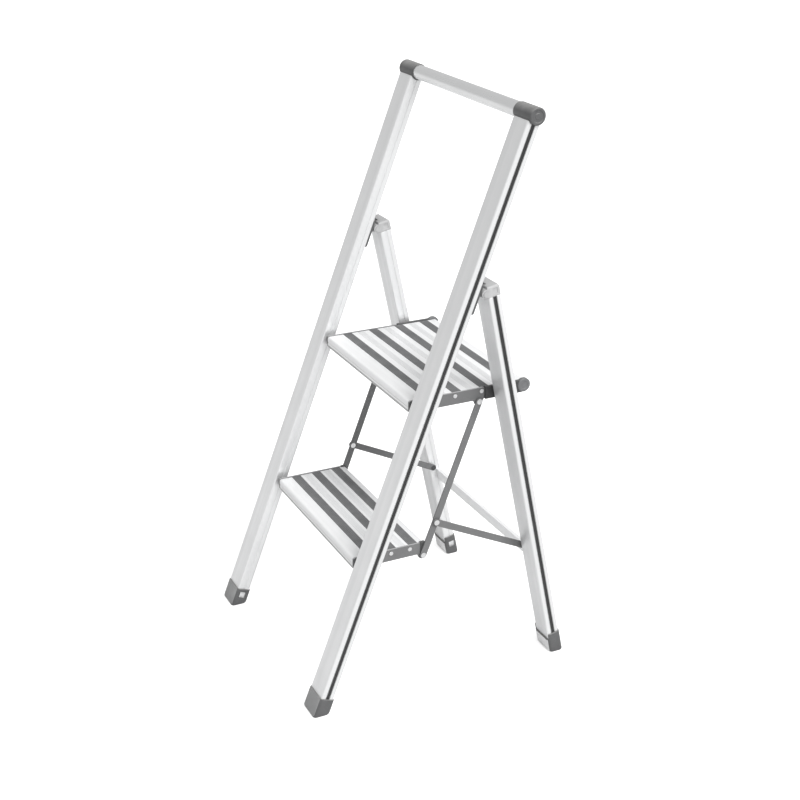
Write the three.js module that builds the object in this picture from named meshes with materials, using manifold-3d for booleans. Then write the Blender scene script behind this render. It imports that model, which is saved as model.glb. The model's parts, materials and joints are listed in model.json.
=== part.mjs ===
// Folding aluminium step ladder with two treads and a grab bar, standing open.
// Millimetres, +Z up, front towards -Y. The stiles lean back, the rear legs lean forward.
// Folding swings the rear legs forward and tips both treads up into the front frame.
import * as THREE from "three";
import { mergeVertices } from "three/addons/utils/BufferGeometryUtils.js";
import Module from "manifold-3d";

const wasm = await Module();
wasm.setup();

// ---------------------------------------------------------------- overall sizes
const FRAME_WIDTH = 420; // over the outer faces of the stiles and of the rear legs
const STILE_LEAN = 21.15; // degrees back from upright
const LEG_LEAN = 11.92; // degrees forward from upright
const LEG_SETBACK = 435; // on the floor, stile front face to leg front face
const BAR_REACH = 991; // along the stile, floor to grab bar axis
const TREAD_RISE = 250; // floor-to-tread pitch between the two treads
const UPPER_HEIGHT = 488; // top of the upper tread above the floor
const UPPER_DEPTH = 207;
const LOWER_DEPTH = 125;

// ---------------------------------------------------------------- sections
const PROFILE_WIDTH = 42; // stile and leg face width
const STILE_DEPTH = 22.5;
const LEG_DEPTH = 21;
const PROFILE_WALL = 2;
const PROFILE_CORNER = 2.5;
const SLOT_WIDTH = 6; // open slot down the outer side of each profile
const GROOVE_WIDTH = 4; // shallow groove down the inner side
const GROOVE_DEPTH = 0.8;
const BAR_RADIUS = 12;
const BAR_WALL = 1.5;
const TREAD_SIDE_ROOM = 13; // tread end to the inner face of the stile
const TREAD_HEIGHT = 18;
const TREAD_SKIN = 2.6;
const TREAD_BOX = 18; // hollow nose at the front and at the rear of each tread
const TREAD_NOSE_RADIUS = 3;
const TREAD_WALL = 2;
const RIB_HEIGHT = 12;
const STRIP_WIDTH = 16;
const STRIP_SEAT = 1.3; // depth of the seat cut in the tread skin
const STRIP_PROUD = 0.9; // how far the strip stands above the skin
const STRIP_RIDGES = 5;
const UPPER_STRIPS = [36.5, 85, 133.5, 182]; // strip centres behind the tread front edge
const LOWER_STRIPS = [31, 68.5, 106];

// ---------------------------------------------------------------- fixings
const GAP = 0.3; // between pieces that rest against each other
const PIN_CLEARANCE = 0.12; // radial, round each turning pin
const PIN_RADIUS = 3;
const HEAD_RIM = 1.6; // pin heads past their shanks
const PIVOT_RADIUS = 3.2;
const PIVOT_HEAD = 6; // head of a tread pivot, inside the stile
const PLATE_THICKNESS = 3;
const BAR_THICKNESS = 2.5; // links and struts
const BAR_HALF_WIDTH = 5.5;
const LAYER_GAP = 1; // plate to link
const STRUT_GAP = 1.2; // link to strut
const PIVOT_INSET = 7; // tread pivot behind the tread front edge
const PIVOT_SETBACK = 1.11; // tread pivot behind the middle of the stile's depth
const PIVOT_DROP = 11; // tread pivot below the tread top
const LINK_REACH = 114.5; // link pin behind the tread pivot
const LINK_DROP = 9.8; // link pin below the tread pivot
const STRUT_ANCHOR = 196; // strut pin up the rear leg from the floor
const STRUT_ANCHOR_DEPTH = 6; // strut pin behind the leg front face
const HINGE_RISE = 677; // hinge pin up the rear leg from the floor
const HINGE_FORWARD = 2.5; // hinge pin in front of the leg front face
const KNUCKLE_RADIUS = 8;
const LUG_HALF_WIDTH = 6.5;
const SHOE_WALL = 2.2;
const FRONT_SHOE_HEIGHT = 36;
const REAR_SHOE_HEIGHT = 38;
const REAR_SHOE_LIP = 28; // height of the rear shoe's lower front wall
const WINDOW_SIZE = 9.5; // square opening in the inner wall of each shoe
const CAP_RADIUS = 13.5;
const CAP_SEAT = 9.6; // grab bar axis down to the sawn top of the stile
const CAP_LAP = 4.5; // grab bar cap past the inner face of the stile
const CAP_OVERHANG = 5; // and past its outer face
const CROSSBAR_LOW = 167; // along the rear leg
const CROSSBAR_HIGH = 189;
const CROSSBAR_FRONT = 12.7; // behind the leg front face
const CROSSBAR_DEPTH = 6;
const ROUND_SIDES = 32;

// ---------------------------------------------------------------- frames of the two leaning sides
const lean = THREE.MathUtils.degToRad(STILE_LEAN);
const tilt = THREE.MathUtils.degToRad(LEG_LEAN);
const faceX = FRAME_WIDTH / 2;
const pinHead = PIN_RADIUS + HEAD_RIM;
const innerX = faceX - PROFILE_WIDTH;
const treadHalf = innerX - TREAD_SIDE_ROOM;
const capInner = innerX - CAP_LAP;
const capOuter = faceX + CAP_OVERHANG;

// point on the stile side: s runs up the stile, n runs back from its front face
function stilePoint(s, n) {
  const y = s * Math.sin(lean) + n * Math.cos(lean);
  const z = s * Math.cos(lean) - n * Math.sin(lean);
  return [y, z];
}

// point on the leg side: v runs up the leg, m runs back from its front face
function legPoint(v, m) {
  const y = LEG_SETBACK - v * Math.sin(tilt) + m * Math.cos(tilt);
  const z = v * Math.cos(tilt) + m * Math.sin(tilt);
  return [y, z];
}

function toStile([y, z]) {
  const s = y * Math.sin(lean) + z * Math.cos(lean);
  const n = y * Math.cos(lean) - z * Math.sin(lean);
  return [s, n];
}

// ---------------------------------------------------------------- solids
function solid(geometry) {
  const bare = geometry.clone();
  bare.deleteAttribute("normal");
  bare.deleteAttribute("uv");
  const welded = mergeVertices(bare, 1e-4);
  const vertProperties = Float32Array.from(welded.attributes.position.array);
  const triVerts = Uint32Array.from(welded.index.array);
  const mesh = new wasm.Mesh({ numProp: 3, vertProperties, triVerts });
  return new wasm.Manifold(mesh);
}

function extruded(points, length, matrix) {
  const shape = new THREE.Shape(points.map(([a, b]) => new THREE.Vector2(a, b)));
  const geometry = new THREE.ExtrudeGeometry(shape, {
    depth: length,
    bevelEnabled: false,
    curveSegments: 1,
  });
  geometry.applyMatrix4(matrix);
  return solid(geometry);
}

// side outline in (y, z), carried across from x0 to x1
function across(points, x0, x1) {
  const matrix = new THREE.Matrix4().makeBasis(
    new THREE.Vector3(0, 1, 0),
    new THREE.Vector3(0, 0, 1),
    new THREE.Vector3(1, 0, 0),
  );
  matrix.setPosition(x0, 0, 0);
  return extruded(points, x1 - x0, matrix);
}

// section in (x, depth), carried up a stile from s0 to s1
function upStile(points, s0, s1) {
  const depth = new THREE.Vector3(0, Math.cos(lean), -Math.sin(lean));
  const up = new THREE.Vector3(0, Math.sin(lean), Math.cos(lean));
  const matrix = new THREE.Matrix4().makeBasis(new THREE.Vector3(1, 0, 0), depth, up);
  matrix.setPosition(up.clone().multiplyScalar(s0));
  return extruded(points, s1 - s0, matrix);
}

// section in (x, depth), carried up a rear leg from v0 to v1
function upLeg(points, v0, v1) {
  const depth = new THREE.Vector3(0, Math.cos(tilt), Math.sin(tilt));
  const up = new THREE.Vector3(0, -Math.sin(tilt), Math.cos(tilt));
  const matrix = new THREE.Matrix4().makeBasis(new THREE.Vector3(1, 0, 0), depth, up);
  const start = up.clone().multiplyScalar(v0);
  matrix.setPosition(start.x, start.y + LEG_SETBACK, start.z);
  return extruded(points, v1 - v0, matrix);
}

// turned solid on an axis along X through (y, z): steps are [x, radius] pairs
function turned([y, z], steps, sides = ROUND_SIDES) {
  const positions = [];
  const index = [];
  for (const [x, radius] of steps) {
    for (let i = 0; i < sides; i += 1) {
      const a = (2 * Math.PI * i) / sides;
      positions.push(x, y + radius * Math.cos(a), z + radius * Math.sin(a));
    }
  }
  const first = steps.length * sides;
  positions.push(steps[0][0], y, z, steps[steps.length - 1][0], y, z);
  for (let k = 0; k + 1 < steps.length; k += 1) {
    for (let i = 0; i < sides; i += 1) {
      const j = (i + 1) % sides;
      const a = k * sides + i;
      const b = k * sides + j;
      index.push(a, b, b + sides, a, b + sides, a + sides);
    }
  }
  const last = (steps.length - 1) * sides;
  for (let i = 0; i < sides; i += 1) {
    const j = (i + 1) % sides;
    index.push(first, j, i, first + 1, last + i, last + j);
  }
  const geometry = new THREE.BufferGeometry();
  geometry.setAttribute("position", new THREE.Float32BufferAttribute(positions, 3));
  geometry.setIndex(index);
  return solid(geometry);
}

function rod(centre, radius, x0, x1) {
  return turned(centre, [[x0, radius], [x1, radius]]);
}

function rectangle(a0, b0, a1, b1) {
  return [[a0, b0], [a1, b0], [a1, b1], [a0, b1]];
}

function roundedRectangle(a0, b0, a1, b1, radius, steps = 3) {
  const corners = [
    [a1 - radius, b0 + radius, -90],
    [a1 - radius, b1 - radius, 0],
    [a0 + radius, b1 - radius, 90],
    [a0 + radius, b0 + radius, 180],
  ];
  const points = [];
  for (const [ca, cb, start] of corners) {
    for (let i = 0; i <= steps; i += 1) {
      const angle = THREE.MathUtils.degToRad(start + (90 * i) / steps);
      points.push([ca + radius * Math.cos(angle), cb + radius * Math.sin(angle)]);
    }
  }
  return points;
}

// outline of a bar with round ends between two points in (y, z)
function roundEnded(from, to, radius, steps = 12) {
  const heading = Math.atan2(to[1] - from[1], to[0] - from[0]);
  const points = [];
  for (const [centre, start] of [[to, heading - Math.PI / 2], [from, heading + Math.PI / 2]]) {
    for (let i = 0; i <= steps; i += 1) {
      const angle = start + (Math.PI * i) / steps;
      points.push([centre[0] + radius * Math.cos(angle), centre[1] + radius * Math.sin(angle)]);
    }
  }
  return points;
}

function mapped(points, place) {
  return points.map(([a, b]) => place(a, b));
}

// ---------------------------------------------------------------- pivots in (y, z)
const upperFront = [treadEdge(UPPER_HEIGHT), UPPER_HEIGHT];
const lowerFront = [treadEdge(UPPER_HEIGHT - TREAD_RISE), UPPER_HEIGHT - TREAD_RISE];
const upperPivot = [upperFront[0] + PIVOT_INSET, upperFront[1] - PIVOT_DROP];
const lowerPivot = [lowerFront[0] + PIVOT_INSET, lowerFront[1] - PIVOT_DROP];
const upperLinkPin = [upperPivot[0] + LINK_REACH, upperPivot[1] - LINK_DROP];
const lowerLinkPin = [lowerPivot[0] + LINK_REACH, lowerPivot[1] - LINK_DROP];
const hinge = legPoint(HINGE_RISE, -HINGE_FORWARD);
const strutPin = legPoint(STRUT_ANCHOR, STRUT_ANCHOR_DEPTH);
const barAxis = stilePoint(BAR_REACH, STILE_DEPTH / 2);

// the tread front edge, placed so that its pivot lies in the middle of the stile
function treadEdge(height) {
  const depth = STILE_DEPTH / 2 + PIVOT_SETBACK;
  const behind = (depth - PIVOT_DROP * Math.sin(lean)) / Math.cos(lean) - PIVOT_INSET;
  return height * Math.tan(lean) + behind;
}

// the strut must be as long folded as it is open, which fixes its pin on the link
function linkRivetPoint() {
  const open = toStile(strutPin);
  const hingeS = toStile(hinge);
  const folded = [
    hingeS[0] + (STRUT_ANCHOR - HINGE_RISE),
    hingeS[1] + STRUT_ANCHOR_DEPTH + HINGE_FORWARD,
  ];
  const pin = toStile(upperLinkPin);
  const pivot = toStile(upperPivot);
  const travel = [pivot[0] + LINK_REACH - pin[0], pivot[1] + LINK_DROP - pin[1]];
  const backS = folded[0] - travel[0];
  const openSquare = open[0] ** 2 + (open[1] - pin[1]) ** 2;
  const foldedSquare = backS ** 2 + (folded[1] - pin[1] - travel[1]) ** 2;
  const s = (openSquare - foldedSquare) / (2 * (open[0] - backS));
  return stilePoint(s, pin[1]);
}
const linkRivet = linkRivetPoint();

// ---------------------------------------------------------------- lateral layers, right-hand side
const plateIn = treadHalf + GAP;
const plateOut = plateIn + PLATE_THICKNESS;
const linkIn = plateOut + LAYER_GAP;
const linkOut = linkIn + BAR_THICKNESS;
const strutIn = linkOut + STRUT_GAP;
const strutOut = strutIn + BAR_THICKNESS;
const headGap = 0.2;
const headThickness = 0.8;

// ---------------------------------------------------------------- materials
function material(name, colour, roughness, metalness) {
  return new THREE.MeshStandardMaterial({ name, color: colour, roughness, metalness });
}
const aluminium = material("brushed_aluminium", 0xd8dadc, 0.38, 1);
const brightSteel = material("bright_steel", 0xc9cbce, 0.3, 1);
const darkSteel = material("dark_grey_painted_steel", 0x66686b, 0.5, 0.3);
const darkPlastic = material("dark_grey_plastic", 0x55575a, 0.55, 0);
const greyPlastic = material("mid_grey_plastic", 0xa9abad, 0.55, 0);
const stripRubber = material("grey_ribbed_strip", 0x5d5f62, 0.8, 0);

// ---------------------------------------------------------------- assembly list
const group = new THREE.Group();
group.name = "folding_step_ladder";

function add(name, body, look) {
  const mesh = body.getMesh();
  const geometry = new THREE.BufferGeometry();
  const positions = new Float32Array(mesh.vertProperties);
  geometry.setAttribute("position", new THREE.BufferAttribute(positions, 3));
  geometry.setIndex(new THREE.BufferAttribute(new Uint32Array(mesh.triVerts), 1));
  geometry.computeVertexNormals();
  const node = new THREE.Mesh(geometry, look);
  node.name = name;
  group.add(node);
}

// every handed piece is drawn on the right and mirrored for the left
function addPair(name, body, look) {
  add(`left_${name}`, body.mirror([1, 0, 0]), look);
  add(`right_${name}`, body, look);
}

// ---------------------------------------------------------------- stiles, legs and grab bar
// open-sided hollow section with a slot outside and a shallow groove inside
function channelSection(build, depth, low, high) {
  const middle = depth / 2;
  const outer = roundedRectangle(innerX, 0, faceX, depth, PROFILE_CORNER);
  const hollow = rectangle(
    innerX + PROFILE_WALL,
    PROFILE_WALL,
    faceX - PROFILE_WALL,
    depth - PROFILE_WALL,
  );
  const slot = rectangle(
    faceX - 2 * PROFILE_WALL,
    middle - SLOT_WIDTH / 2,
    faceX + 1,
    middle + SLOT_WIDTH / 2,
  );
  const groove = rectangle(
    innerX - 1,
    middle - GROOVE_WIDTH / 2,
    innerX + GROOVE_DEPTH,
    middle + GROOVE_WIDTH / 2,
  );
  return build(outer, low, high)
    .subtract(build(hollow, low - 1, high + 1))
    .subtract(build(slot, low - 1, high + 1))
    .subtract(build(groove, low - 1, high + 1));
}

const stileFoot = 14; // lower end of the stile, held inside its shoe
const wallHole = [innerX - 1, innerX + PROFILE_WALL + 1];
const stileTop = BAR_REACH - CAP_SEAT - GAP;
let stile = channelSection(upStile, STILE_DEPTH, stileFoot, stileTop);
stile = stile.subtract(rod(barAxis, CAP_RADIUS + GAP, innerX - 5, faceX + 5));
for (const pivot of [upperPivot, lowerPivot]) {
  stile = stile.subtract(rod(pivot, PIVOT_RADIUS + PIN_CLEARANCE, ...wallHole));
}
addPair("stile", stile, aluminium);

const legFoot = 8; // lower end of the leg, held inside its shoe
const legTop = HINGE_RISE - KNUCKLE_RADIUS;
let leg = channelSection(upLeg, LEG_DEPTH, legFoot, legTop);
leg = leg.subtract(rod(strutPin, PIN_RADIUS + PIN_CLEARANCE, ...wallHole));
addPair("rear_leg", leg, aluminium);

const barEnd = capInner + 32;
const tube = rod(barAxis, BAR_RADIUS, -barEnd, barEnd);
const tubeBore = rod(barAxis, BAR_RADIUS - BAR_WALL, -barEnd - 1, barEnd + 1);
add("top_bar", tube.subtract(tubeBore), aluminium);

const capEdge = 2.5;
const capPlug = upStile(
  rectangle(
    innerX + PROFILE_WALL + GAP,
    PROFILE_WALL + GAP,
    faceX - PROFILE_WALL - GAP,
    STILE_DEPTH - PROFILE_WALL - GAP,
  ),
  BAR_REACH - 42,
  BAR_REACH - 8,
);
const capSaddle = upStile(
  roundedRectangle(innerX, 0, faceX, STILE_DEPTH, PROFILE_CORNER),
  BAR_REACH - CAP_SEAT,
  BAR_REACH,
);
const capBarrel = turned(barAxis, [
  [capInner, CAP_RADIUS - 0.8],
  [capInner + 0.8, CAP_RADIUS],
  [capOuter - capEdge, CAP_RADIUS],
  [capOuter, CAP_RADIUS - capEdge],
]);
const capBore = rod(barAxis, BAR_RADIUS + GAP, capInner - 1, barEnd + GAP);
addPair("top_cap", capBarrel.add(capSaddle).add(capPlug).subtract(capBore), darkPlastic);

// ---------------------------------------------------------------- shoes
// block cut flat on the floor, with a pocket for the profile and a window inside
function shoeSides() {
  return [innerX - SHOE_WALL, faceX + SHOE_WALL];
}

function shoeBlock(place, depth, height, floorFront, floorBack) {
  const chamfer = 2.5;
  const outline = [
    [floorFront + chamfer, 0],
    [floorBack - chamfer, 0],
    [floorBack, chamfer],
    place(height - 1.5, depth + SHOE_WALL),
    place(height, depth + SHOE_WALL - 1.5),
    place(height, -SHOE_WALL + 1.5),
    place(height - 1.5, -SHOE_WALL),
    [floorFront, chamfer],
  ];
  return across(outline, ...shoeSides());
}

const pocketSides = [innerX - GAP, faceX + GAP];
const windowSides = [innerX - SHOE_WALL - 1, innerX];

const frontToe = -SHOE_WALL / Math.cos(lean);
const frontHeel = (STILE_DEPTH + SHOE_WALL) / Math.cos(lean);
const frontPocket = mapped(
  rectangle(stileFoot - GAP, -GAP, FRONT_SHOE_HEIGHT + 5, STILE_DEPTH + GAP),
  stilePoint,
);
const half = WINDOW_SIZE / 2;
const frontWindow = mapped(rectangle(25 - half, 11 - half, 25 + half, 11 + half), stilePoint);
const frontShoe = shoeBlock(stilePoint, STILE_DEPTH, FRONT_SHOE_HEIGHT, frontToe, frontHeel)
  .subtract(across(frontPocket.reverse(), ...pocketSides))
  .subtract(across(frontWindow.reverse(), ...windowSides));
addPair("front_foot", frontShoe, darkPlastic);

const rearToe = LEG_SETBACK - SHOE_WALL / Math.cos(tilt);
const rearHeel = LEG_SETBACK + (LEG_DEPTH + SHOE_WALL) / Math.cos(tilt);
const rearPocket = mapped(
  rectangle(legFoot - GAP, -GAP, REAR_SHOE_HEIGHT + 5, LEG_DEPTH + GAP),
  legPoint,
);
const rearWindow = mapped(rectangle(21 - half, 12 - half, 21 + half, 12 + half), legPoint);
const lipCut = mapped(rectangle(REAR_SHOE_LIP, -SHOE_WALL - 1, REAR_SHOE_HEIGHT + 5, 1), legPoint);
const lipSides = [innerX - GAP, faceX + GAP];
const rearShoe = shoeBlock(legPoint, LEG_DEPTH, REAR_SHOE_HEIGHT, rearToe, rearHeel)
  .subtract(across(rearPocket.reverse(), ...pocketSides))
  .subtract(across(lipCut.reverse(), ...lipSides))
  .subtract(across(rearWindow.reverse(), ...windowSides));
addPair("rear_foot", rearShoe, darkPlastic);

// ---------------------------------------------------------------- rear hinge
// a bracket on the back of the stile carries a lug; the leg cap forks round it
const hingeSide = toStile(hinge);
const lugMiddle = (innerX + faceX) / 2;
const plateBack = STILE_DEPTH + GAP + 2.5;
const bracketPlate = upStile(
  rectangle(lugMiddle - 13, STILE_DEPTH + GAP, lugMiddle + 13, plateBack),
  hingeSide[0] - 25,
  hingeSide[0] + 22,
);
const lugNeck = mapped(
  [
    [hingeSide[0] - 14, STILE_DEPTH + GAP + 1],
    [hingeSide[0] - KNUCKLE_RADIUS, hingeSide[1]],
    [hingeSide[0] + KNUCKLE_RADIUS, hingeSide[1]],
    [hingeSide[0] + 14, STILE_DEPTH + GAP + 1],
  ],
  stilePoint,
);
const lugSides = [lugMiddle - LUG_HALF_WIDTH, lugMiddle + LUG_HALF_WIDTH];
const bracket = bracketPlate
  .add(across(lugNeck.reverse(), ...lugSides))
  .add(rod(hinge, KNUCKLE_RADIUS, ...lugSides))
  .subtract(rod(hinge, PIN_RADIUS + PIN_CLEARANCE, innerX - 5, faceX + 5));
addPair("hinge_bracket", bracket, darkPlastic);

const forkGap = LUG_HALF_WIDTH + 0.4;
const capTop = HINGE_RISE + 10;
function legCapOutline() {
  const low = legTop + GAP;
  const points = [
    [low, LEG_DEPTH],
    [capTop - 4, LEG_DEPTH],
    [capTop - 1, LEG_DEPTH - 1.5],
    [capTop, LEG_DEPTH - 4],
    [capTop, 6],
  ];
  for (let angle = 80; angle <= 250; angle += 10) {
    const a = THREE.MathUtils.degToRad(angle);
    const v = HINGE_RISE + KNUCKLE_RADIUS * Math.sin(a);
    const m = -HINGE_FORWARD + KNUCKLE_RADIUS * Math.cos(a);
    points.push([v, m]);
  }
  points.push([low, 0]);
  return points;
}
const forkSlot = mapped(rectangle(legTop - 1, -20, capTop + 10, 6.4), legPoint);
const legPlug = upLeg(
  rectangle(
    innerX + PROFILE_WALL + GAP,
    PROFILE_WALL + GAP,
    faceX - PROFILE_WALL - GAP,
    LEG_DEPTH - PROFILE_WALL - GAP,
  ),
  legTop - 26,
  legTop + 2,
);
const legCap = across(mapped(legCapOutline(), legPoint), innerX, faceX)
  .add(legPlug)
  .subtract(across(forkSlot, lugMiddle - forkGap, lugMiddle + forkGap))
  .subtract(rod(hinge, PIN_RADIUS + PIN_CLEARANCE, innerX - 5, faceX + 5));
addPair("leg_cap", legCap, greyPlastic);

const pinOut = 1;
const hingePin = turned(hinge, [
  [innerX - GAP - pinOut, pinHead],
  [innerX - GAP, pinHead],
  [innerX - GAP, PIN_RADIUS],
  [faceX + GAP, PIN_RADIUS],
  [faceX + GAP, pinHead],
  [faceX + GAP + pinOut, pinHead],
]);
addPair("hinge_pin", hingePin, brightSteel);

// ---------------------------------------------------------------- rear crossbar and strut pins
const crossOuter = mapped(
  rectangle(CROSSBAR_LOW, CROSSBAR_FRONT, CROSSBAR_HIGH, CROSSBAR_FRONT + CROSSBAR_DEPTH),
  legPoint,
);
const crossHollow = mapped(
  rectangle(
    CROSSBAR_LOW + 2,
    CROSSBAR_FRONT + 1.8,
    CROSSBAR_HIGH - 2,
    CROSSBAR_FRONT + CROSSBAR_DEPTH + 1,
  ),
  legPoint,
);
const crossEnd = innerX - GAP;
const crossbar = across(crossOuter.reverse(), -crossEnd, crossEnd)
  .subtract(across(crossHollow.reverse(), -crossEnd - 1, crossEnd + 1));
add("rear_crossbar", crossbar, aluminium);

const clenchRadius = Math.min(pinHead, STRUT_ANCHOR_DEPTH - PROFILE_WALL - GAP);
const strutPinBody = turned(strutPin, [
  [strutIn - headGap - headThickness, pinHead],
  [strutIn - headGap, pinHead],
  [strutIn - headGap, PIN_RADIUS],
  [strutOut + headGap, PIN_RADIUS],
  [strutOut + headGap, pinHead],
  [innerX - headGap, pinHead],
  [innerX - headGap, PIN_RADIUS],
  [innerX + PROFILE_WALL + GAP, PIN_RADIUS],
  [innerX + PROFILE_WALL + GAP, clenchRadius],
  [innerX + PROFILE_WALL + GAP + 1.2, clenchRadius],
]);
addPair("strut_pin", strutPinBody, brightSteel);

// ---------------------------------------------------------------- treads
// one extruded section: skin, hollow front and rear noses, ribs, strip seats
function treadBody(front, depth, ribs, strips) {
  const [y, top] = front;
  const half = treadHalf;
  const place = (h, drop) => [y + h, top - drop];
  const slab = (h0, d0, h1, d1) => across(mapped(rectangle(h0, -d1, h1, -d0), flip), -half, half);
  const cut = (h0, d0, h1, d1) => across(
    mapped(rectangle(h0, -d1, h1, -d0), flip),
    -half - 1,
    half + 1,
  );
  function flip(h, up) {
    return place(h, -up);
  }
  const nose = (h0, h1) => across(
    mapped(roundedRectangle(h0, -TREAD_HEIGHT, h1, 0, TREAD_NOSE_RADIUS), flip),
    -half,
    half,
  );
  let body = slab(TREAD_NOSE_RADIUS, 0, depth - TREAD_NOSE_RADIUS, TREAD_SKIN)
    .add(nose(0, TREAD_BOX))
    .add(nose(depth - TREAD_BOX, depth));
  for (const rib of ribs) {
    body = body.add(slab(rib - 1, 1, rib + 1, RIB_HEIGHT));
  }
  for (const edge of [0, depth - TREAD_BOX]) {
    const inner = edge + TREAD_WALL;
    const outer = edge + TREAD_BOX - TREAD_WALL;
    body = body.subtract(cut(inner, TREAD_SKIN, outer, TREAD_HEIGHT - TREAD_WALL));
  }
  for (const strip of strips) {
    body = body.subtract(cut(strip - STRIP_WIDTH / 2, -1, strip + STRIP_WIDTH / 2, STRIP_SEAT));
  }
  // fine line along the front nose
  return body.subtract(cut(-1, 9, 0.7, 10.4));
}

// ribbed strip that sits in its seat and stands slightly proud
function stripBody(front, centre) {
  const side = STRIP_WIDTH / 2 - 0.2;
  const bottom = front[1] - STRIP_SEAT + GAP;
  const crest = front[1] + STRIP_PROUD;
  const valley = crest - 0.6;
  const pitch = (2 * side) / STRIP_RIDGES;
  const left = front[0] + centre - side;
  const points = [[left, bottom], [left + 2 * side, bottom]];
  for (let i = STRIP_RIDGES - 1; i >= 0; i -= 1) {
    const start = left + i * pitch;
    points.push([start + pitch, valley]);
    points.push([start + pitch * 0.78, crest]);
    points.push([start + pitch * 0.22, crest]);
  }
  points.push([left, valley]);
  return across(points, -treadHalf + 0.4, treadHalf - 0.4);
}

// side plate of a tread, with a lug for the link pin and raised rivet heads
function plateBody(front, length, pivot, linkPin, rivets) {
  const [y, top] = front;
  const outline = roundedRectangle(y, top - TREAD_HEIGHT - 1, y + length, top + 1, 3);
  const lugRadius = BAR_HALF_WIDTH + 2;
  const neck = [
    [linkPin[0] - lugRadius - 9, top - TREAD_HEIGHT + 2],
    [linkPin[0] - lugRadius, linkPin[1]],
    [linkPin[0] + lugRadius, linkPin[1]],
    [Math.min(linkPin[0] + lugRadius + 9, y + length), top - TREAD_HEIGHT + 2],
  ];
  let body = across(outline, plateIn, plateOut)
    .add(across(neck, plateIn, plateOut))
    .add(rod(linkPin, lugRadius, plateIn, plateOut));
  for (const [h, drop] of rivets) {
    body = body.add(rod([y + h, top - drop], 3, plateOut - 1, plateOut + 0.6));
  }
  return body
    .subtract(rod(pivot, PIVOT_RADIUS + PIN_CLEARANCE, plateIn - 1, plateOut + 1))
    .subtract(rod(linkPin, PIN_RADIUS + PIN_CLEARANCE, plateIn - 1, plateOut + 1));
}

function pivotPin(pivot) {
  return turned(pivot, [
    [treadHalf - 6, PIVOT_RADIUS],
    [innerX + PROFILE_WALL + GAP, PIVOT_RADIUS],
    [innerX + PROFILE_WALL + GAP, PIVOT_HEAD],
    [innerX + PROFILE_WALL + GAP + 2, PIVOT_HEAD],
  ]);
}

function linkPinBody(pin) {
  return turned(pin, [
    [plateIn + 0.1, PIN_RADIUS],
    [linkOut + headGap, PIN_RADIUS],
    [linkOut + headGap, pinHead],
    [linkOut + headGap + headThickness - 0.1, pinHead],
  ]);
}

function addTread(name, front, depth, ribs, strips, plateLength, rivets, pivot, linkPin) {
  add(`${name}_tread`, treadBody(front, depth, ribs, strips), aluminium);
  strips.forEach((strip, i) => {
    add(`${name}_strip_${i + 1}`, stripBody(front, strip), stripRubber);
  });
  addPair(`${name}_plate`, plateBody(front, plateLength, pivot, linkPin, rivets), darkSteel);
  addPair(`${name}_pivot_pin`, pivotPin(pivot), brightSteel);
  addPair(`${name}_link_pin`, linkPinBody(linkPin), brightSteel);
}

const upperPlateLength = 132;
addTread(
  "upper",
  upperFront,
  UPPER_DEPTH,
  [60.5, 109, 157.5],
  UPPER_STRIPS,
  upperPlateLength,
  [[80, 5], [127, 5]],
  upperPivot,
  upperLinkPin,
);
addTread(
  "lower",
  lowerFront,
  LOWER_DEPTH,
  [49.5, 87],
  LOWER_STRIPS,
  LOWER_DEPTH,
  [[66, 6], [99, 6]],
  lowerPivot,
  lowerLinkPin,
);

// end cap over the rear of the upper tread, with a round bulb past its rear nose
const endCapOut = plateOut + 2.6;
const bulbRadius = 11.5;
const bulb = [upperFront[0] + UPPER_DEPTH - 5.5, upperFront[1] - 7];
const endCapOutline = roundedRectangle(
  upperFront[0] + upperPlateLength + GAP,
  upperFront[1] - TREAD_HEIGHT - 1,
  bulb[0],
  upperFront[1] + 2,
  2,
);
const endCap = across(endCapOutline, plateIn, endCapOut)
  .add(turned(bulb, [[plateIn, bulbRadius], [endCapOut, bulbRadius], [endCapOut + 1.5, 9.5]]));
addPair("upper_end_cap", endCap, darkPlastic);

// ---------------------------------------------------------------- links and struts
const linkOutline = roundEnded(lowerLinkPin, upperLinkPin, BAR_HALF_WIDTH);
let link = across(linkOutline, linkIn, linkOut);
for (const hole of [lowerLinkPin, upperLinkPin, linkRivet]) {
  link = link.subtract(rod(hole, PIN_RADIUS + PIN_CLEARANCE, linkIn - 1, linkOut + 1));
}
addPair("link", link, darkSteel);

const linkRivetBody = turned(linkRivet, [
  [linkIn - headGap - 0.5, pinHead],
  [linkIn - headGap, pinHead],
  [linkIn - headGap, PIN_RADIUS],
  [linkOut, PIN_RADIUS],
]);
addPair("link_rivet", linkRivetBody, brightSteel);

const strutOutline = roundEnded(linkRivet, strutPin, BAR_HALF_WIDTH);
let strut = across(strutOutline, strutIn, strutOut);
for (const hole of [linkRivet, strutPin]) {
  strut = strut.subtract(rod(hole, PIN_RADIUS + PIN_CLEARANCE, strutIn - 1, strutOut + 1));
}
addPair("strut", strut, darkSteel);

const strutRivetBody = turned(linkRivet, [
  [strutIn - headGap - headThickness, pinHead],
  [strutIn - headGap, pinHead],
  [strutIn - headGap, PIN_RADIUS],
  [strutOut + headGap, PIN_RADIUS],
  [strutOut + headGap, pinHead],
  [strutOut + headGap + headThickness, pinHead],
]);
addPair("strut_rivet", strutRivetBody, brightSteel);

// ---------------------------------------------------------------- origin
// the part stands with the middle of its footprint on the origin
const box = new THREE.Box3().setFromObject(group);
const shift = new THREE.Vector3(
  -(box.min.x + box.max.x) / 2,
  -(box.min.y + box.max.y) / 2,
  -box.min.z,
);
for (const node of group.children) {
  node.geometry.translate(shift.x, shift.y, shift.z);
}
group.userData.pivots = { upperPivot, lowerPivot, upperLinkPin, lowerLinkPin, hinge, strutPin };
group.userData.linkRivet = linkRivet;
group.userData.shift = shift.toArray();

export default group;
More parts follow.
